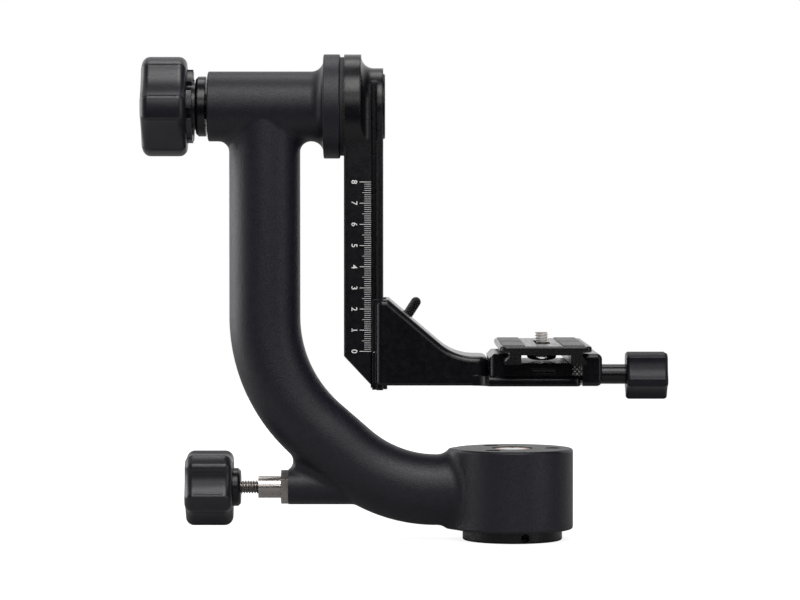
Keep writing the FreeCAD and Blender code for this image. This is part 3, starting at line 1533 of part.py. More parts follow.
def moving_jaw():
    """Jaw that the clamp knob pushes against the plate."""
    body = new_body("moving_jaw")
    half = d.deck_half_width - d.clamp_side_inset
    neck_right = d.plate_centre_x + d.neck_half_width + d.moving_jaw_gap
    foot_right = d.plate_centre_x + d.foot_half_width + d.moving_jaw_gap
    inner = d.deck_right_x + d.moving_jaw_closing_gap
    lip_bottom = d.clamp_top_z - d.jaw_lip_height
    add_block(body, "Y", -half, half, [
        (inner, d.bracket_bottom_z),
        (d.moving_jaw_right_x, d.bracket_bottom_z),
        (d.moving_jaw_right_x, d.clamp_top_z),
        (neck_right, d.clamp_top_z),
        (neck_right, lip_bottom),
        (foot_right, lip_bottom - flank),
        (foot_right, d.clamp_floor_z),
        (inner, d.clamp_floor_z),
    ])
    outer = any_of(
        straight_at("Y", d.moving_jaw_right_x, d.bracket_bottom_z),
        straight_at("Y", d.moving_jaw_right_x, d.clamp_top_z),
    )
    round_edges(body, outer, d.moving_jaw_rounding)
    right_edges = [straight_at("Z", d.moving_jaw_right_x, half * side) for side in (-1, 1)]
    round_edges(body, any_of(*right_edges), d.moving_jaw_side_rounding)
    screw = d.clamp_screw_radius + d.running_clearance
    cut_round(body, "X", inner, d.moving_jaw_right_x, (0, d.clamp_screw_z), screw)
    for side in (-1, 1):
        pin = (d.guide_pin_y * side, d.guide_pin_z)
        cut_round(body, "X", inner, d.moving_jaw_right_x, pin, d.guide_pin_radius + d.running_clearance)
    finish(body, "moving_jaw")


def guide_pins():
    """Two pins in the clamp that guide the moving jaw."""
    pins = []
    for side in (-1, 1):
        centre = (d.guide_pin_y * side, d.guide_pin_z)
        pins.append(cylinder("X", d.guide_pin_left_x, d.guide_pin_right_x, centre, d.guide_pin_radius))
    finish(group(pins), "jaw_guide_pins")


def clamp_knob():
    """Clamp screw with its collar and knob."""
    centre = (0, 0, d.clamp_screw_z)
    right = d.clamp_knob_left_x + d.clamp_knob_width
    collar_left = d.moving_jaw_right_x + d.small_gap
    screw_right = d.clamp_knob_left_x + d.clamp_knob_width / 2
    ring("clamp_screw", "X", d.clamp_screw_left_x, screw_right, 0, d.clamp_screw_radius, centre)
    ring(
        "clamp_collar", "X", collar_left, d.clamp_knob_left_x,
        d.clamp_screw_radius, d.clamp_collar_radius, centre,
    )
    body = new_body("clamp_knob", centre)
    turn(body, "X", [
        (screw_right, 0),
        (screw_right, d.clamp_screw_radius),
        (d.clamp_knob_left_x, d.clamp_screw_radius),
        (d.clamp_knob_left_x, d.clamp_knob_radius),
        (right, d.clamp_knob_radius),
        (right, 0),
    ])
    flute_knob(
        body, d.clamp_knob_radius, d.clamp_flute_angle, d.clamp_flute_depth,
        d.clamp_knob_left_x, right, d.clamp_knob_land_rounding, d.clamp_knob_rounding,
    )
    finish(body, "clamp_knob")


# Camera plate


def camera_plate():
    """Dovetail plate with its lengthwise slot, pad recesses and the channel underneath."""
    body = new_body("camera_plate")
    middle = d.plate_centre_x
    half = d.camera_plate_length / 2
    side = d.camera_plate_width / 2
    right = [
        (middle + d.channel_half_width, channel_roof_z),
        (middle + d.channel_half_width, foot_bottom_z),
        (middle + d.foot_half_width, foot_bottom_z),
        (middle + d.foot_half_width, foot_shoulder_z),
        (middle + d.neck_half_width, neck_z),
        (middle + d.neck_half_width, slab_bottom_z),
        (middle + side, slab_bottom_z),
        (middle + side, d.camera_plate_top_z),
    ]
    left = [(2 * middle - x, z) for x, z in reversed(right)]
    add_block(body, "Y", -half, half, right + left)
    corners = any_of(*[
        straight_at("Z", middle + side * left_right, half * front_back)
        for left_right in (-1, 1) for front_back in (-1, 1)
    ])
    round_edges(body, corners, d.camera_plate_corner)
    rims = any_of(*[
        straight_at("Y", middle + side * left_right, height)
        for left_right in (-1, 1) for height in (slab_bottom_z, d.camera_plate_top_z)
    ])
    round_edges(body, rims, d.camera_plate_rounding)
    slot_side = d.plate_slot_half_width
    slot_end = d.plate_slot_half_length - slot_side
    slot = rectangle((middle - slot_side, -slot_end), (middle + slot_side, slot_end))
    cut_block(body, "Z", channel_roof_z, d.camera_plate_top_z, slot)
    for end in (-1, 1):
        centre = (middle, slot_end * end)
        cut_round(body, "Z", channel_roof_z, d.camera_plate_top_z, centre, slot_side)
    recess_bottom = d.camera_plate_top_z - d.pad_recess
    for low, high in pad_places():
        cut_block(body, "Z", recess_bottom, d.camera_plate_top_z, rectangle(low, high))
    shank_top = foot_bottom_z + d.safety_shank_length
    for centre in safety_screw_places():
        cut_round(body, "Z", foot_bottom_z, shank_top, centre, d.safety_shank_radius)
    finish(body, "camera_plate")


def pad_places():
    """Low and high corners of the four rubber pads."""
    places = []
    for left_right in (-1, 1):
        for front_back in (-1, 1):
            x = d.pad_middle_x + d.pad_offset_x * left_right
            y = d.pad_offset_y * front_back
            low = (x - d.pad_width / 2, y - d.pad_length / 2)
            high = (x + d.pad_width / 2, y + d.pad_length / 2)
            places.append((low, high))
    return places


def rubber_pads():
    """Four pads that stop the camera from turning."""
    bottom = d.camera_plate_top_z - d.pad_recess
    top = d.camera_plate_top_z + d.pad_proud
    pads = [block((low[0], low[1], bottom), (high[0], high[1], top)) for low, high in pad_places()]
    finish(group(pads), "rubber_pads")


def safety_screw_places():
    """Centres of the two screws that stop the plate from sliding out of the clamp."""
    return [
        (d.plate_centre_x + d.safety_offset_x * side, -d.safety_offset_y * side) for side in (-1, 1)
    ]


def safety_screws():
    """Screws under the plate's feet, one near each end."""
    screws = []
    for centre in safety_screw_places():
        head_bottom = foot_bottom_z - d.safety_screw_head
        head = cylinder("Z", head_bottom, foot_bottom_z, centre, d.safety_screw_radius)
        shank_top = foot_bottom_z + d.safety_shank_length
        shank = cylinder("Z", foot_bottom_z, shank_top, centre, d.safety_shank_radius)
        screws.append(join(head, shank))
    finish(group(screws), "safety_screws")


def camera_screw():
    """Screw for the camera, its washer and the ring that turns it."""
    middle = d.plate_centre_x
    centre = (middle, 0, 0)
    washer_top = camera_washer_bottom_z + d.camera_washer_thickness
    washer_bore = d.camera_neck_radius + d.running_clearance
    ring(
        "camera_screw_washer", "Z", camera_washer_bottom_z, washer_top,
        washer_bore, d.camera_head_radius - d.camera_washer_step, centre,
    )
    thread_bottom = d.camera_screw_top_z - d.camera_thread_length
    body = new_body("camera_screw", centre)
    turn(body, "Z", [
        (camera_head_bottom_z, 0),
        (camera_head_bottom_z, d.camera_head_radius),
        (camera_head_top_z, d.camera_head_radius),
        (camera_head_top_z, d.camera_neck_radius),
        (thread_bottom, d.camera_neck_radius),
        (thread_bottom, d.camera_screw_radius),
        (d.camera_screw_top_z, d.camera_screw_radius),
        (d.camera_screw_top_z, 0),
    ])
    slot_top = camera_head_bottom_z + d.camera_slot_depth
    half_slot = d.camera_slot_width / 2
    coin_slot = rectangle((-half_slot, -d.camera_head_radius), (half_slot, d.camera_head_radius))
    cut_block(body, "Z", camera_head_bottom_z, slot_top, coin_slot)
    pivot = (0, ring_pivot_z)
    bore = d.ring_pivot_radius + d.running_clearance
    inner = d.camera_head_radius - d.ring_pivot_depth
    cut_round(body, "X", inner, d.camera_head_radius, pivot, bore)
    cut_round(body, "X", -d.camera_head_radius, -inner, pivot, bore)
    finish(body, "camera_screw")
    camera_screw_ring()


def camera_screw_ring():
    """Half ring of wire whose two inward ends turn in the screw's head."""
    half_ring = doc.addObject("Part::Torus", "HalfRing")
    bind(half_ring, "Radius1", d.ring_radius)
    bind(half_ring, "Radius2", d.ring_wire_radius)
    half_ring.Angle3 = 180
    half_ring.Placement = FreeCAD.Placement(FreeCAD.Vector(), FreeCAD.Rotation(FreeCAD.Vector(0, 0, 1), 180))
    place(half_ring, (d.plate_centre_x, 0, 0))
    solids = [half_ring]
    tip = d.camera_head_radius - d.ring_pivot_depth + d.small_gap
    for start, end in ((tip, d.ring_radius), (-d.ring_radius, -tip)):
        left = d.plate_centre_x + start
        right = d.plate_centre_x + end
        solids.append(cylinder("X", left, right, (0, 0), d.ring_pivot_radius))
    hung = group([join(*solids)])
    hung.Placement.Rotation = FreeCAD.Rotation(FreeCAD.Vector(1, 0, 0), 1)
    bind(hung, "Placement.Base.z", ring_pivot_z)
    bind(hung, "Placement.Rotation.Angle", d.ring_rest_angle)
    finish(hung, "camera_screw_ring")


def build():
    """Make every sub-part."""
    fill_sheet()
    pan_plate()
    grub_screw()
    spindle()
    spindle_nut_and_washer()
    thrust_bearing()
    bearing_carrier()
    carrier_screws()
    arm_casting()
    pan_lock_bushing()
    pan_lock_rod()
    pan_lock_knob()
    ball_bearings()
    tilt_axle()
    axle_screw()
    tilt_lock()
    swing_arm()
    swing_arm_trim()
    platform_bracket()
    rail_jaw()
    rail_jaw_dowels()
    height_lever()
    clamp_body()
    clamp_bolts()
    moving_jaw()
    guide_pins()
    clamp_knob()
    camera_plate()
    rubber_pads()
    safety_screws()
    camera_screw()


def check():
    """Stop if an object failed or a sub-part has no valid shape."""
    doc.recompute()
    faults = [thing.Label for thing in doc.Objects if {"Invalid", "Error"} & set(thing.State)]
    for thing in pieces:
        if thing.Shape.isNull() or not thing.Shape.isValid():
            faults.append(thing.Label)
    if faults:
        raise RuntimeError("failed: " + ", ".join(faults))


def export():
    """Write each sub-part to a STEP file of its own."""
    os.makedirs("parts", exist_ok=True)
    for thing in pieces:
        thing.Shape.exportStep(f"parts/{thing.Label}.step")


build()
check()
export()
print(f"{len(pieces)} sub-parts written")
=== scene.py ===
"""Looks of the gimbal tripod head: finishes, threads, the printed ruler, the ribbed pads and the studio."""
import math

import bmesh
import bpy
from mathutils import Matrix, Vector


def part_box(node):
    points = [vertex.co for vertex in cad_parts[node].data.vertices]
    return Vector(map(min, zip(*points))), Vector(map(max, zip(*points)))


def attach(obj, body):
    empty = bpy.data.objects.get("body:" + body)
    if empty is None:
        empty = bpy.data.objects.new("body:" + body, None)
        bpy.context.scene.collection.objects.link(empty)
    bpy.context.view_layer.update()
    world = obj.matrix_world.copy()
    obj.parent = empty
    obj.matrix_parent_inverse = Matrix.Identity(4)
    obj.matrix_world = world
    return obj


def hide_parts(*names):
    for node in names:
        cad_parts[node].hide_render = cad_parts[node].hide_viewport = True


# Places and sizes of pieces are in millimetres, and those of finishes, lamps and camera in metres.
MM = 0.001

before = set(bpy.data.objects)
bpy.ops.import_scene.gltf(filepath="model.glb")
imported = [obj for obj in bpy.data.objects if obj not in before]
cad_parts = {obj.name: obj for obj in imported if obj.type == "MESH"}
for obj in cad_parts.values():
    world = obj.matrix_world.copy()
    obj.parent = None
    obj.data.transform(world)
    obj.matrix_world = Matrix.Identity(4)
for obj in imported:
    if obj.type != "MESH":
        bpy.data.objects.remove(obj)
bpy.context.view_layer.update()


def middle_of(node):
    """Middle of a CAD node's box, in millimetres."""
    low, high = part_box(node)
    return (low + high) / 2 / MM


TILT_AXIS_Z = middle_of("tilt_axle").z
LOCK_AXIS_Z = middle_of("pan_lock_stem").z
PLATE_CENTRE_X = middle_of("camera_screw").x


# Finishes

# Noise values mostly lie between these two. A wave texture has 20 radians to a unit of its scale.
NOISE_LOW = 0.3
NOISE_HIGH = 0.7
# Painted shade: how far the thin lines at the knobs' flute edges darken the grip's colour.
PAINTED_LINE_DARKNESS = 0.85
WAVE_RADIANS = 20
EDGE_SAMPLES = 4


class Nodes:
    """A node tree with short calls to add, link and reckon."""

    def __init__(self, tree):
        self.tree = tree

    def add(self, kind, **values):
        """A node with its properties set."""
        node = self.tree.nodes.new(kind)
        for name, value in values.items():
            setattr(node, name, value)
        return node

    def join(self, output, entry):
        """Link an output to an input."""
        self.tree.links.new(output, entry)

    def reckon(self, operation, first, second=0.0):
        """One arithmetic step on outputs or numbers."""
        node = self.add("ShaderNodeMath", operation=operation)
        for entry, value in zip(node.inputs, (first, second)):
            if isinstance(value, float):
                entry.default_value = value
            else:
                self.join(value, entry)
        return node.outputs["Value"]

    def spread(self, value, low, high, start=NOISE_LOW, end=NOISE_HIGH, blend="LINEAR"):
        """A value stretched from one range to another."""
        node = self.add("ShaderNodeMapRange", interpolation_type=blend)
        for name, number in (("From Min", start), ("From Max", end), ("To Min", low), ("To Max", high)):
            node.inputs[name].default_value = number
        self.join(value, node.inputs["Value"])
        return node.outputs["Result"]


class Finish(Nodes):
    """A procedural material, built node by node round one surface shader."""

    def __init__(self, name, colour, roughness, metallic=0.0):
        self.material = bpy.data.materials.new(name)
        self.material.use_nodes = True
        super().__init__(self.material.node_tree)
        self.shader = self.tree.nodes["Principled BSDF"]
        self.shader.inputs["Base Color"].default_value = (*colour, 1)
        self.shader.inputs["Roughness"].default_value = roughness
        self.shader.inputs["Metallic"].default_value = metallic
        self.place = self.add("ShaderNodeTexCoord").outputs["Object"]

    def grain(self, scale, detail=2.0, stretch=None):
        """Noise of a given number of grains per metre, drawn out along an axis if wanted."""
        place = self.place
        if stretch:
            mapping = self.add("ShaderNodeMapping")
            mapping.inputs["Scale"].default_value = stretch
            self.join(place, mapping.inputs["Vector"])
            place = mapping.outputs["Vector"]
        noise = self.add("ShaderNodeTexNoise")
        noise.inputs["Scale"].default_value = scale
        noise.inputs["Detail"].default_value = detail
        self.join(place, noise.inputs["Vector"])
        return noise.outputs["Fac"]

    def tint(self, value, dark, light):
        """Colour between two shades by a value."""
        ramp = self.add("ShaderNodeValToRGB")
        for stop, position, colour in zip(ramp.color_ramp.elements, (NOISE_LOW, NOISE_HIGH), (dark, light)):
            stop.position = position
            stop.color = (*colour, 1)
        self.join(value, ramp.inputs["Fac"])
        self.join(ramp.outputs["Color"], self.shader.inputs["Base Color"])

    def dull(self, value, low, high):
        """Roughness between two limits by a value."""
        self.join(self.spread(value, low, high), self.shader.inputs["Roughness"])

    def seams(self, axis_z, angles, start_x, end_x, repeat, width):
        """Painted shade: thin dark lines along X on a knob's rim, standing for the shade at the edges where
        flutes meet lobes, each repeated round its axis.
        """
        split = self.add("ShaderNodeSeparateXYZ")
        self.join(self.place, split.inputs["Vector"])
        up = self.reckon("SUBTRACT", split.outputs["Z"], axis_z)
        ahead = self.reckon("MULTIPLY", split.outputs["Y"], -1.0)
        turn = self.reckon("ARCTAN2", up, ahead)
        away = []
        for angle in angles:
            past = self.reckon("SUBTRACT", turn, angle)
            away.append(self.reckon("PINGPONG", past, repeat / 2))
        nearest = away[0]
        for other in away[1:]:
            nearest = self.reckon("MINIMUM", nearest, other)
        line = self.reckon("LESS_THAN", nearest, width / 2)
        begun = self.reckon("GREATER_THAN", split.outputs["X"], start_x)
        going = self.reckon("LESS_THAN", split.outputs["X"], end_x)
        shade_mask = self.reckon("MULTIPLY", line, self.reckon("MULTIPLY", begun, going))
        shader = self.shader.inputs
        # Inside the lines the colour is darkened as painted shade and the surface turns rough.
        kept = self.reckon("SUBTRACT", 1.0, self.reckon("MULTIPLY", shade_mask, PAINTED_LINE_DARKNESS))
        darker = self.add("ShaderNodeVectorMath", operation="SCALE")
        self.join(shader["Base Color"].links[0].from_socket, darker.inputs["Vector"])
        self.join(kept, darker.inputs["Scale"])
        rough = self.reckon("MAXIMUM", shader["Roughness"].links[0].from_socket, shade_mask)
        self.join(darker.outputs["Vector"], shader["Base Color"])
        self.join(rough, shader["Roughness"])

    def knurl(self, pitch, depth, lean=0.0):
        """Diamond knurl of two crossed sets of grooves in the plane of X and Z, as relief and as a value."""
        sets = []
        for side in (-1, 1):
            mapping = self.add("ShaderNodeMapping")
            mapping.inputs["Rotation"].default_value = (0, lean + side * math.radians(45), 0)
            self.join(self.place, mapping.inputs["Vector"])
            wave = self.add("ShaderNodeTexWave", bands_direction="X")
            wave.inputs["Scale"].default_value = math.tau / WAVE_RADIANS / pitch
            self.join(mapping.outputs["Vector"], wave.inputs["Vector"])
            sets.append(wave.outputs["Fac"])
        points = self.reckon("MULTIPLY", sets[0], sets[1])
        self.relief(points, depth)
        return points

    def relief(self, value, depth, strength=1.0, edge=0.0):
        """Bump of a given depth over edges softened by a small radius."""
        bump = self.add("ShaderNodeBump")
        bump.inputs["Strength"].default_value = strength
        bump.inputs["Distance"].default_value = depth
        self.join(value, bump.inputs["Height"])
        if edge:
            bevel = self.add("ShaderNodeBevel")
            bevel.samples = EDGE_SAMPLES
            bevel.inputs["Radius"].default_value = edge
            self.join(bevel.outputs["Normal"], bump.inputs["Normal"])
        self.join(bump.outputs["Normal"], self.shader.inputs["Normal"])


def powder_coat():
    """Fine textured satin powder coat of the casting."""
    finish = Finish("powder_coat", (0.015, 0.015, 0.0172), 0.45)
    fine = finish.grain(1500, 3)
    finish.tint(finish.grain(260, 4), (0.0062, 0.0055, 0.0108), (0.009, 0.0081, 0.0152))
    finish.dull(fine, 0.38, 0.52)
    finish.relief(fine, 0.00018, 0.6)
    finish.shader.inputs["Specular IOR Level"].default_value = 0.5
    return finish.material


def anodised(name, smoothest, roughest, edge):
    """Smooth black anodised aluminium with a faint satin blast."""
    finish = Finish(name, (0.0045, 0.0044, 0.0056), smoothest)
    finish.tint(finish.grain(90, 4), (0.0025, 0.0024, 0.0038), (0.0039, 0.0037, 0.0057))
    finish.dull(finish.grain(420, 3), smoothest, roughest)
    finish.relief(finish.grain(2600, 1), 0.00002, 0.12, edge)
    finish.shader.inputs["Specular IOR Level"].default_value = 0.42
    return finish.material


def plate_anodised():
    """Anodised top plate, a little glossier, with faint lengthwise draw lines."""
    finish = Finish("plate_anodised", (0.007, 0.007, 0.0076), 0.28)
    lines = finish.grain(1100, 2, stretch=(1, 0.02, 1))
    finish.tint(lines, (0.0055, 0.0055, 0.006), (0.009, 0.009, 0.0098))
    finish.dull(lines, 0.2, 0.32)
    finish.relief(lines, 0.00001, 0.3, 0.00025)
    return finish.material


def moulded_grip(name, shine, seams=None):
    """Satin moulded grip of the knobs, with thin lines of painted shade at the flute edges where they show.
    """
    finish = Finish(name, (0.0095, 0.0094, 0.0112), 0.4)
    finish.tint(finish.grain(140, 3), (0.0066, 0.006, 0.0098), (0.0096, 0.0087, 0.0142))
    finish.dull(finish.grain(900, 2), 0.28, 0.38)
    finish.shader.inputs["Specular IOR Level"].default_value = shine
    finish.relief(finish.grain(3200, 2), 0.00003, 0.3, 0.0003)
    if seams:
        finish.seams(**seams)
    return finish.material


def turned_metal(name, colour, roughness, stretch, strength=0.5):
    """Turned bare metal with fine rings round its axis."""
    finish = Finish(name, colour, roughness, 1.0)
    rings = finish.grain(1, 2, stretch=stretch)
    dark = [part * 0.82 for part in colour]
    finish.tint(rings, dark, colour)
    finish.dull(finish.grain(300, 2), roughness * 0.75, roughness * 1.25)
    finish.relief(rings, 0.00001, strength, 0.00015)
    return finish.material


def black_oxide():
    """Oil-black screws with a touch of bare steel in the grain."""
    finish = Finish("black_oxide", (0.016, 0.016, 0.017), 0.34, 0.6)
    finish.tint(finish.grain(700, 3), (0.011, 0.011, 0.012), (0.026, 0.026, 0.027))
    finish.dull(finish.grain(1200, 2), 0.28, 0.42)
    finish.relief(finish.grain(2600, 2), 0.00002, 0.3, 0.00015)
    return finish.material


def knurled_steel(name, colour, pitch, lean=0.0):
    """Blackened steel with a fine diamond knurl, its colour darkened in the grooves as painted shade."""
    finish = Finish(name, colour, 0.3, 0.8)
    # Painted shade: the knurl's grooves are a tenth as bright as its points.
    finish.tint(finish.knurl(pitch, 0.0004, lean), [part * 0.1 for part in colour], colour)
    finish.dull(finish.grain(1200, 2), 0.24, 0.36)
    return finish.material


def plated_steel(name, colour, roughness, metallic):
    """Bright plated steel with a faint cloud of tone."""
    finish = Finish(name, colour, roughness, metallic)
    finish.tint(finish.grain(500, 3), [part * 0.85 for part in colour], colour)
    finish.dull(finish.grain(900, 2), roughness * 0.8, roughness * 1.2)
    finish.relief(finish.grain(3000, 2), 0.00001, 0.3)
    return finish.material


def washer_plastic():
    """Matte black friction washer."""
    finish = Finish("washer_plastic", (0.01, 0.01, 0.011), 0.6)
    finish.tint(finish.grain(500, 2), (0.007, 0.007, 0.008), (0.013, 0.013, 0.014))
    finish.relief(finish.grain(2400, 2), 0.00003, 0.4, 0.0001)
    return finish.material


def pad_rubber():
    """Grey rubber of the pads, with a faint random cloud of dusty tone."""
    finish = Finish("pad_rubber", (0.11, 0.11, 0.113), 0.5)
    finish.tint(finish.grain(700, 3), (0.09, 0.09, 0.093), (0.14, 0.14, 0.143))
    finish.dull(finish.grain(1800, 2), 0.42, 0.55)
    finish.relief(finish.grain(4200, 2), 0.00003, 0.5)
    return finish.material


def white_print():
    """Matte white printing ink with a slightly uneven edge of tone."""
    finish = Finish("white_print", (0.8, 0.8, 0.78), 0.55)
    finish.tint(finish.grain(1800, 2), (0.7, 0.7, 0.69), (0.86, 0.86, 0.84))
    finish.relief(finish.grain(5000, 1), 0.00001, 0.2)
    return finish.material


POWDER = powder_coat()
ANODISED = anodised("black_anodised", 0.2, 0.29, 0.0007)
BLASTED = anodised("black_anodised_blasted", 0.25, 0.33, 0.0016)
PLATE = plate_anodised()
LOBE_TURN = math.radians(72)
PAINTED_LINE_WIDTH = 0.012
GRIP = moulded_grip("moulded_grip", 0.25)
# The tilt and lock grips carry thin lines of painted shade where the flutes meet the lobes.
TILT_GRIP = moulded_grip("moulded_grip_tilt", 0.62, {
    "axis_z": TILT_AXIS_Z * MM, "angles": [math.radians(10.6), math.radians(54.6)],
    "start_x": -0.1715, "end_x": -0.1585, "repeat": LOBE_TURN, "width": PAINTED_LINE_WIDTH,
})
LOCK_GRIP = moulded_grip("moulded_grip_lock", 0.56, {
    "axis_z": LOCK_AXIS_Z * MM, "angles": [math.radians(30.0), math.radians(-7.0)],
    "start_x": -0.1515, "end_x": -0.1375, "repeat": LOBE_TURN, "width": PAINTED_LINE_WIDTH * 1.2,
})
ALONG_X = (6500, 60, 60)
ALONG_Z = (60, 60, 6500)
STAINLESS_X = turned_metal("stainless_turned", (0.52, 0.485, 0.46), 0.27, ALONG_X, 0.12)
THREAD_STEEL = turned_metal("stainless_thread", (0.34, 0.32, 0.305), 0.3, ALONG_X, 0.12)
STAINLESS_Z = turned_metal("stainless_upright", (0.6, 0.58, 0.55), 0.22, ALONG_Z)
BEARING = turned_metal("bearing_steel", (0.56, 0.56, 0.57), 0.16, ALONG_Z)
BEARING_X = turned_metal("bearing_steel_tilt", (0.56, 0.56, 0.57), 0.16, ALONG_X)
BRONZE = turned_metal("bronze", (0.55, 0.27, 0.16), 0.3, ALONG_Z)
BRASS = turned_metal("brass", (0.62, 0.44, 0.2), 0.28, ALONG_X)
BARE_ALUMINIUM = turned_metal("bare_aluminium", (0.6, 0.6, 0.61), 0.34, ALONG_Z)
OXIDE = black_oxide()
KNURLED_HEAD = knurled_steel("knurled_head", (0.3, 0.29, 0.28), 0.0016)
KNURLED_ROD = knurled_steel("knurled_rod", (0.1, 0.1, 0.102), 0.0009, math.radians(57))
PLATED = plated_steel("plated_steel", (0.8, 0.77, 0.74), 0.36, 0.5)
POLISHED = plated_steel("polished_wire", (0.4, 0.39, 0.38), 0.22, 1.0)
WASHER = washer_plastic()
RUBBER = pad_rubber()
PRINT = white_print()

NODE_FINISHES = {
    "arm_casting": POWDER,
    "swing_arm": BLASTED,
    "platform_bracket": ANODISED,
    "rail_jaw": ANODISED,
    "clamp_body": ANODISED,
    "moving_jaw": ANODISED,
    "pressure_collar": ANODISED,
    "axle_end_cap": BLASTED,
    "pan_plate": ANODISED,
    "clamp_collar": ANODISED,
    "camera_plate": PLATE,
    "tilt_knob": TILT_GRIP,
    "pan_lock_knob": LOCK_GRIP,
    "pan_lock_hub": ANODISED,
    "clamp_knob": GRIP,
    "pan_lock_bushing": STAINLESS_X,
    "pan_lock_stem": THREAD_STEEL,
    "camera_screw": PLATED,
    "camera_screw_ring": POLISHED,
    "camera_screw_washer": OXIDE,
    "safety_screws": KNURLED_HEAD,
    "height_lever": KNURLED_ROD,
    "spindle_nut": BRONZE,
    "nut_washer": BRONZE,
    "pan_bush_lower": BRONZE,
    "pan_bush_upper": BRONZE,
    "pan_lock_shoe": BRASS,
    "tilt_knob_insert": BRASS,
    "thrust_lower_race": BEARING,
    "thrust_upper_race": BEARING,
    "thrust_needles": BEARING,
    "thrust_cage": BEARING,
    "spindle": BEARING,
    "rear_bearing_inner_ring": BEARING_X,
    "front_bearing_inner_ring": BEARING_X,
    "rear_bearing_outer_ring": BEARING_X,
    "front_bearing_outer_ring": BEARING_X,
    "rear_bearing_balls": BEARING_X,
    "front_bearing_balls": BEARING_X,
    "pan_lock_push_rod": BEARING_X,
    "bearing_carrier": BARE_ALUMINIUM,
    "bearing_spacer": BARE_ALUMINIUM,
    "axle_spacer_ring": BARE_ALUMINIUM,
    "friction_washer": WASHER,
    "rubber_pads": RUBBER,
}

for name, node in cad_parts.items():
    node.data.materials.clear()
    node.data.materials.append(NODE_FINISHES.get(name, OXIDE))


# Mesh work

THREAD_FLAT_SHARE = 0.12
WELD = 0.0005
THREAD_WELD = 0.002
ON_CUT = 0.001
ON_RIM = 0.01
SHARP_ANGLE = math.radians(35)


def keep_piece(mesh, name, body, material, smooth=True):
    """Turn the working mesh into a piece that rides on a body. Sizes are in millimetres until here."""
    bmesh.ops.scale(mesh, vec=(MM, MM, MM), verts=mesh.verts)
    bmesh.ops.recalc_face_normals(mesh, faces=mesh.faces)
    data = bpy.data.meshes.new(name)
    mesh.to_mesh(data)
    mesh.free()
    data.materials.append(material)
    piece = bpy.data.objects.new(name, data)
    bpy.context.scene.collection.objects.link(piece)
    for face in data.polygons:
        face.use_smooth = smooth
    if smooth:
        data.set_sharp_from_angle(angle=SHARP_ANGLE)
    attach(piece, body)
    return piece


def turn_profile(mesh, corners, axis, centre, steps=96):
    """Spin a profile of (along, radius) corners round an axis through the centre."""
    along = Vector(axis)
    out = Vector((0, 0, 1)) if abs(along.z) < 0.5 else Vector((1, 0, 0))
    points = [mesh.verts.new(Vector(centre) + along * place + out * radius) for place, radius in corners]
    edges = [mesh.edges.new(pair) for pair in zip(points, points[1:])]
    bmesh.ops.spin(
        mesh, geom=points + edges, cent=centre, axis=along, angle=math.tau, steps=steps, use_merge=True,
    )
    bmesh.ops.remove_doubles(mesh, verts=mesh.verts, dist=WELD)


def helix_thread(mesh, axis, centre, start, end, crest, depth, pitch, steps=48):
    """Screw thread: one pitch of the profile is spun up the axis, then both ends are cut flat."""
    along = Vector(axis)
    out = Vector((0, 0, 1)) if abs(along.z) < 0.5 else Vector((1, 0, 0))
    root = crest - depth
    flat = pitch * THREAD_FLAT_SHARE
    half = pitch / 2
    outline = [
        (-half, root), (-half + flat, root), (-flat / 2, crest), (flat / 2, crest), (half - flat, root),
        (half, root),
    ]
    low = start - pitch
    middle = Vector(centre)
    points = [mesh.verts.new(middle + along * (low + place) + out * radius) for place, radius in outline]
    edges = [mesh.edges.new(pair) for pair in zip(points, points[1:])]
    turns = math.ceil((end - start) / pitch) + 2
    bmesh.ops.spin(
        mesh, geom=points + edges, cent=centre, axis=along, dvec=along * (pitch / steps),
        angle=math.tau * turns, steps=steps * turns,
    )
    bmesh.ops.remove_doubles(mesh, verts=mesh.verts, dist=THREAD_WELD)
    for place, way in ((start, -1), (end, 1)):
        everything = mesh.verts[:] + mesh.edges[:] + mesh.faces[:]
        bmesh.ops.bisect_plane(
            mesh, geom=everything, plane_co=middle + along * place, plane_no=along * way, clear_outer=True,
        )
        rim = []
        for edge in mesh.edges:
            heights = [(corner.co - middle).dot(along) for corner in edge.verts]
            if edge.is_boundary and all(abs(height - place) < ON_CUT for height in heights):
                rim.append(edge)
        bmesh.ops.triangle_fill(mesh, edges=rim, use_beauty=True)


def cut_slot(piece, centre, size):
    """Cut a straight slot in a piece with a block, and keep the result as its mesh."""
    mesh = bmesh.new()
    bmesh.ops.create_cube(mesh, size=1)
    bmesh.ops.scale(mesh, vec=size, verts=mesh.verts)
    bmesh.ops.translate(mesh, vec=centre, verts=mesh.verts)
    bmesh.ops.scale(mesh, vec=(MM, MM, MM), verts=mesh.verts)
    data = bpy.data.meshes.new("slot_block")
    mesh.to_mesh(data)
    mesh.free()
    cutter = bpy.data.objects.new("slot_block", data)
    bpy.context.scene.collection.objects.link(cutter)
    modifier = piece.modifiers.new("slot", "BOOLEAN")
    modifier.operation = "DIFFERENCE"
    modifier.object = cutter
    modifier.solver = "EXACT"
    bpy.context.view_layer.update()
    shaped = bpy.data.meshes.new_from_object(piece.evaluated_get(bpy.context.evaluated_depsgraph_get()))
    piece.modifiers.clear()
    piece.data = shaped
    bpy.data.objects.remove(cutter)


# Threads

QUARTER_INCH_RADIUS = 3.175
QUARTER_INCH_PITCH = 1.27
LOCK_THREAD_DEPTH = 0.62
CAMERA_THREAD_DEPTH = 0.6
CAMERA_THREAD_LENGTH = 4.7
HEAD_HEIGHT = 2.9
HEAD_BEVEL = 0.3
HEAD_RIDGES = 72
RIDGE_SHARE = 0.97
NECK_RADIUS = 2.6
NECK_GAP = 0.1
SLOT_SIZE = (1.6, 16, 2.2)


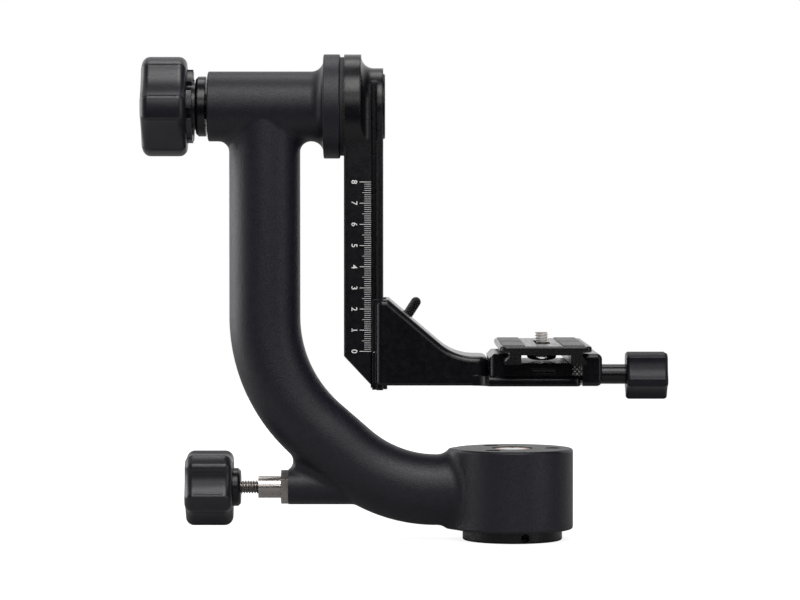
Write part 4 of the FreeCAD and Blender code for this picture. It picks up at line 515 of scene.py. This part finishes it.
def pan_lock_stem():
    """Stainless stem of the pan lock with its cut thread."""
    mesh = bmesh.new()
    low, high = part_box("pan_lock_stem")
    helix_thread(
        mesh, (1, 0, 0), (0, 0, LOCK_AXIS_Z), low.x / MM, high.x / MM, QUARTER_INCH_RADIUS, LOCK_THREAD_DEPTH,
        QUARTER_INCH_PITCH,
    )
    piece = keep_piece(mesh, "pan_lock_threaded_stem", "pan_lock_knob", THREAD_STEEL)
    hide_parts("pan_lock_stem")


def camera_screw():
    """Camera screw: slotted head with a knurled rim, undercut neck and cut thread."""
    low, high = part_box("camera_screw")
    bottom = low.z / MM
    top = high.z / MM
    radius = (high.x - low.x) / MM / 2
    centre = (PLATE_CENTRE_X, 0, 0)
    mesh = bmesh.new()
    helix_thread(
        mesh, (0, 0, 1), centre, top - CAMERA_THREAD_LENGTH, top, QUARTER_INCH_RADIUS, CAMERA_THREAD_DEPTH,
        QUARTER_INCH_PITCH,
    )
    thread = keep_piece(mesh, "camera_screw_thread", "camera_screw", PLATED)
    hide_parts("camera_screw")
    mesh = bmesh.new()
    head_top = bottom + HEAD_HEIGHT
    neck_top = top - CAMERA_THREAD_LENGTH - NECK_GAP
    turn_profile(mesh, [
        (bottom, 0), (bottom, radius - HEAD_BEVEL), (bottom + HEAD_BEVEL, radius),
        (head_top - HEAD_BEVEL, radius), (head_top, radius - HEAD_BEVEL), (head_top, NECK_RADIUS),
        (neck_top, NECK_RADIUS), (neck_top, 0),
    ], (0, 0, 1), centre, HEAD_RIDGES)
    ridges = []
    for vertex in mesh.verts:
        offset = vertex.co - Vector((PLATE_CENTRE_X, 0, vertex.co.z))
        step = round(math.atan2(offset.y, offset.x) / math.tau * HEAD_RIDGES)
        if abs(offset.length - radius) < ON_RIM and step % 2:
            ridges.append(vertex)
    inward = Matrix.Diagonal((RIDGE_SHARE, RIDGE_SHARE, 1, 1))
    bmesh.ops.transform(mesh, matrix=inward, space=Matrix.Translation(-Vector(centre)), verts=ridges)
    piece = keep_piece(mesh, "camera_screw_head", "camera_screw", STAINLESS_Z)
    cut_slot(piece, (PLATE_CENTRE_X, 0, bottom), SLOT_SIZE)


# Printed ruler on the swing arm

RAIL_FACE_Y = -18.0
PRINT_PROUD = 0.005
RULER_ZERO_Z = 90.7
RULER_SPACING = 0.9988
RULER_LENGTH = 80
TICKS_RIGHT_X = -67.35
LONG_TICK = 5.4
MIDDLE_TICK = 4.2
SHORT_TICK = 3.2
TICK_DEPTH = 0.04
BOLD_WIDTH = 0.24
FINE_WIDTH = 0.17
FIGURES_X = -75.2
FIGURE_SIZE = 3.9
FIGURE_DEPTH = 0.03
FIGURE_BOLDNESS = 0.02
FOOT_LENGTH = 1.5
FOOT_WIDTH = 0.42
STEM_WIDTH = 0.48
DOT_PLACE = (-66.0, -18.97, 90.3)
DOT_RADIUS = 0.31
DOT_DEPTH = 0.06


def ruler_ticks():
    """Millimetre ticks, longer at each 5 and 10."""
    mesh = bmesh.new()
    for number in range(RULER_LENGTH + 1):
        length = SHORT_TICK
        width = FINE_WIDTH
        if number % 10 == 0:
            length = LONG_TICK
            width = BOLD_WIDTH
        elif number % 5 == 0:
            length = MIDDLE_TICK
        made = bmesh.ops.create_cube(mesh, size=1)["verts"]
        bmesh.ops.scale(mesh, vec=(length, TICK_DEPTH, width), verts=made)
        height = RULER_ZERO_Z + RULER_SPACING * number
        centre = (TICKS_RIGHT_X - length / 2, RAIL_FACE_Y - PRINT_PROUD, height)
        bmesh.ops.translate(mesh, vec=centre, verts=made)
    keep_piece(mesh, "ruler_ticks", "swing_arm", PRINT, smooth=False)


def drawn_figure(number):
    """One figure as a working mesh, lying centred in the plane of X and Y."""
    words = bpy.data.curves.new(f"digit_{number}", "FONT")
    words.body = str(number)
    words.size = FIGURE_SIZE
    words.extrude = FIGURE_DEPTH / 2
    words.offset = FIGURE_BOLDNESS
    words.align_x = "CENTER"
    words.align_y = "CENTER"
    shape = bpy.data.objects.new(f"digit_{number}", words)
    bpy.context.scene.collection.objects.link(shape)
    bpy.context.view_layer.update()
    data = bpy.data.meshes.new_from_object(shape.evaluated_get(bpy.context.evaluated_depsgraph_get()))
    bpy.data.objects.remove(shape)
    mesh = bmesh.new()
    mesh.from_mesh(data)
    middle = Vector((0, 0, 0))
    for axis in range(2):
        places = [vertex.co[axis] for vertex in mesh.verts]
        middle[axis] = (min(places) + max(places)) / 2
    bmesh.ops.translate(mesh, vec=-middle, verts=mesh.verts)
    return mesh


def add_foot(mesh):
    """Foot bar centred under the stem of a figure 1, which is its right-hand stroke."""
    stem = max(vertex.co.x for vertex in mesh.verts) - STEM_WIDTH / 2
    base = min(vertex.co.y for vertex in mesh.verts) + FOOT_WIDTH / 2
    foot = bmesh.ops.create_cube(mesh, size=1)["verts"]
    bmesh.ops.scale(mesh, vec=(FOOT_LENGTH, FOOT_WIDTH, FIGURE_DEPTH), verts=foot)
    bmesh.ops.translate(mesh, vec=(stem, base, 0), verts=foot)


def ruler_digits():
    """Figures 0 to 8 beside the long ticks, read from the side."""
    upright = Matrix.Rotation(math.radians(90), 4, "X")
    lying = Matrix.Rotation(math.radians(90), 4, "Y")
    for number in range(RULER_LENGTH // 10 + 1):
        mesh = drawn_figure(number)
        if number == 1:
            add_foot(mesh)
        height = RULER_ZERO_Z + RULER_SPACING * 10 * number
        place = Matrix.Translation((FIGURES_X, RAIL_FACE_Y - PRINT_PROUD, height))
        bmesh.ops.transform(mesh, matrix=place @ lying @ upright, verts=mesh.verts)
        bmesh.ops.remove_doubles(mesh, verts=mesh.verts, dist=WELD)
        keep_piece(mesh, f"ruler_digit_{number}", "swing_arm", PRINT, smooth=False)


def index_dot():
    """White index dot on the bracket's lip, level with the ruler's zero."""
    mesh = bmesh.new()
    front = DOT_DEPTH / 2
    outline = [(front, 0), (front, DOT_RADIUS), (-front, DOT_RADIUS), (-front, 0)]
    turn_profile(mesh, outline, (0, -1, 0), DOT_PLACE, 24)
    keep_piece(mesh, "index_dot", "platform", PRINT, smooth=False)


# Ribbed pads

PAD_WIDTH = 10.3
PAD_LENGTH = 43.5
PAD_RIM = 0.4
PAD_RIBS = 28
RIB_GROOVE_DEPTH = 0.12
RIB_GROOVE_SHARE = 0.3


def rubber_pads():
    """Four pads with fine crosswise ribs and a rounded rim."""
    low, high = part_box("rubber_pads")
    bottom, top = low.z / MM, high.z / MM
    front, back = low.y / MM, high.y / MM
    left, right = low.x / MM, high.x / MM
    mesh = bmesh.new()
    pitch = (PAD_LENGTH - 2 * PAD_RIM) / PAD_RIBS
    for near in (front, back - PAD_LENGTH):
        outline = [(near, bottom), (near, top - PAD_RIM / 2), (near + PAD_RIM / 2, top)]
        for rib in range(PAD_RIBS):
            start = near + PAD_RIM + pitch * rib
            across = pitch * RIB_GROOVE_SHARE
            outline += [(start, top), (start + across / 2, top - RIB_GROOVE_DEPTH), (start + across, top)]
        end = near + PAD_LENGTH
        outline += [(end - PAD_RIM / 2, top), (end, top - PAD_RIM / 2), (end, bottom)]
        for edge in (left, right - PAD_WIDTH):
            made = [mesh.verts.new((edge, y, z)) for y, z in outline]
            face = mesh.faces.new(made)
            grown = bmesh.ops.extrude_face_region(mesh, geom=[face])["geom"]
            moved = [item for item in grown if isinstance(item, bmesh.types.BMVert)]
            bmesh.ops.translate(mesh, vec=(PAD_WIDTH, 0, 0), verts=moved)
    piece = keep_piece(mesh, "ribbed_pads", "camera_plate", RUBBER, smooth=False)
    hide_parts("rubber_pads")


# Studio

BACKDROP_WRAP = 0.5
BACKDROP_DARK = 0.015
BACKDROP_EDGE = (-0.25, 0.4)
BACKDROP_TOP = 0.45
BACKDROP_RISE = (0.3, 0.8)
AMBIENT = 0.45
FLOOR_RADIUS = 0.75
FLOOR_BACK = 0.45
FLOOR_GLOW = 0.84
FLOOR_GLOW_FAR = 1.05
FLOOR_GLOW_RING = (0.2, 0.6)
OBJECT_MIDDLE = (-0.05, 0, 0.11)

# Name, place, width, height and watts of each lamp
LAMPS = (
    ("key", (0.1, -0.9, 1.25), 0.9, 0.8, 11.8),
    ("left", (-1.2, 0.3, 0.35), 0.9, 0.9, 7.0),
    ("right", (0.95, -0.72, 0.3), 0.35, 0.8, 1.6),
    ("top", (-0.05, 0.45, 1.4), 0.7, 0.5, 3.0),
    ("low", (0.0, -1.3, 0.58), 0.9, 0.34, 2.2),
)

# Camera, with its focal length and the horizon's height over the middle in pixels
IMAGE_WIDTH = 800
FOCAL_PIXELS = 3263
HORIZON_PIXELS = 90
SENSOR_WIDTH = 36
CAMERA_PLACE = (-0.0537, -1.557, 0.1574)


class Backdrop(Nodes):
    """World shader: white behind the object, dark behind the camera, even for soft light."""

    def __init__(self):
        world = bpy.data.worlds.new("studio")
        bpy.context.scene.world = world
        world.use_nodes = True
        super().__init__(world.node_tree)

    def seen_in_gloss(self):
        """How bright a direction is in a reflection."""
        split = self.add("ShaderNodeSeparateXYZ")
        self.join(self.add("ShaderNodeTexCoord").outputs["Generated"], split.inputs["Vector"])
        sideways = self.reckon("MULTIPLY", split.outputs["X"], -BACKDROP_WRAP)
        facing = self.reckon("ADD", split.outputs["Y"], sideways)
        fall = self.spread(facing, BACKDROP_DARK, 1.0, *BACKDROP_EDGE, "SMOOTHSTEP")
        height = self.spread(split.outputs["Z"], 1.0, BACKDROP_TOP, *BACKDROP_RISE, "SMOOTHSTEP")
        return self.reckon("MULTIPLY", fall, height)

    def finish(self):
        """Join what the camera, reflections and soft light see."""
        ray = self.add("ShaderNodeLightPath").outputs
        seen = self.reckon("MAXIMUM", ray["Is Camera Ray"], ray["Is Transmission Ray"])
        shiny = self.reckon("MULTIPLY", ray["Is Glossy Ray"], self.seen_in_gloss())
        soft = self.reckon("MULTIPLY", ray["Is Diffuse Ray"], AMBIENT)
        total = self.reckon("MAXIMUM", self.reckon("MAXIMUM", seen, shiny), soft)
        background = self.tree.nodes["Background"].inputs
        background["Color"].default_value = (1, 1, 1, 1)
        self.join(total, background["Strength"])


def paper_floor():
    """Round pale floor, white to the camera away from the object, with the object's soft shadow kept."""
    mesh = bmesh.new()
    bmesh.ops.create_circle(mesh, cap_ends=True, segments=96, radius=FLOOR_RADIUS)
    bmesh.ops.translate(mesh, vec=(OBJECT_MIDDLE[0], FLOOR_BACK, 0), verts=mesh.verts)
    data = bpy.data.meshes.new("floor")
    mesh.to_mesh(data)
    mesh.free()
    floor = bpy.data.objects.new("floor", data)
    bpy.context.scene.collection.objects.link(floor)
    paper = Finish("paper", (0.32, 0.32, 0.32), 0.9)
    shader = paper.shader
    shader.inputs["Emission Color"].default_value = (1, 1, 1, 1)
    distance = paper.add("ShaderNodeVectorMath", operation="LENGTH")
    paper.join(paper.place, distance.inputs[0])
    glow = paper.spread(distance.outputs["Value"], FLOOR_GLOW, FLOOR_GLOW_FAR, *FLOOR_GLOW_RING)
    ray = paper.add("ShaderNodeLightPath")
    seen = paper.reckon("MULTIPLY", ray.outputs["Is Camera Ray"], glow)
    paper.join(seen, shader.inputs["Emission Strength"])
    data.materials.append(paper.material)


def studio():
    """Floor, backdrop, soft lamps and the camera."""
    Backdrop().finish()
    paper_floor()
    centre = Vector(OBJECT_MIDDLE)
    for name, place, width, height, power in LAMPS:
        light = bpy.data.lights.new(name, "AREA")
        light.shape = "RECTANGLE"
        light.size = width
        light.size_y = height
        light.energy = power
        lamp = bpy.data.objects.new(name, light)
        bpy.context.scene.collection.objects.link(lamp)
        lamp.location = place
        lamp.rotation_euler = (Vector(place) - centre).to_track_quat("Z", "Y").to_euler()
    camera_data = bpy.data.cameras.new("camera")
    camera_data.sensor_width = SENSOR_WIDTH
    camera_data.lens = FOCAL_PIXELS / IMAGE_WIDTH * SENSOR_WIDTH
    camera = bpy.data.objects.new("camera", camera_data)
    bpy.context.scene.collection.objects.link(camera)
    camera.location = CAMERA_PLACE
    camera.rotation_euler = (math.radians(90) - math.atan(HORIZON_PIXELS / FOCAL_PIXELS), 0, 0)
    bpy.context.scene.camera = camera
    bpy.context.scene.view_settings.view_transform = "Standard"


pan_lock_stem()
camera_screw()
ruler_ticks()
ruler_digits()
index_dot()
rubber_pads()
studio()
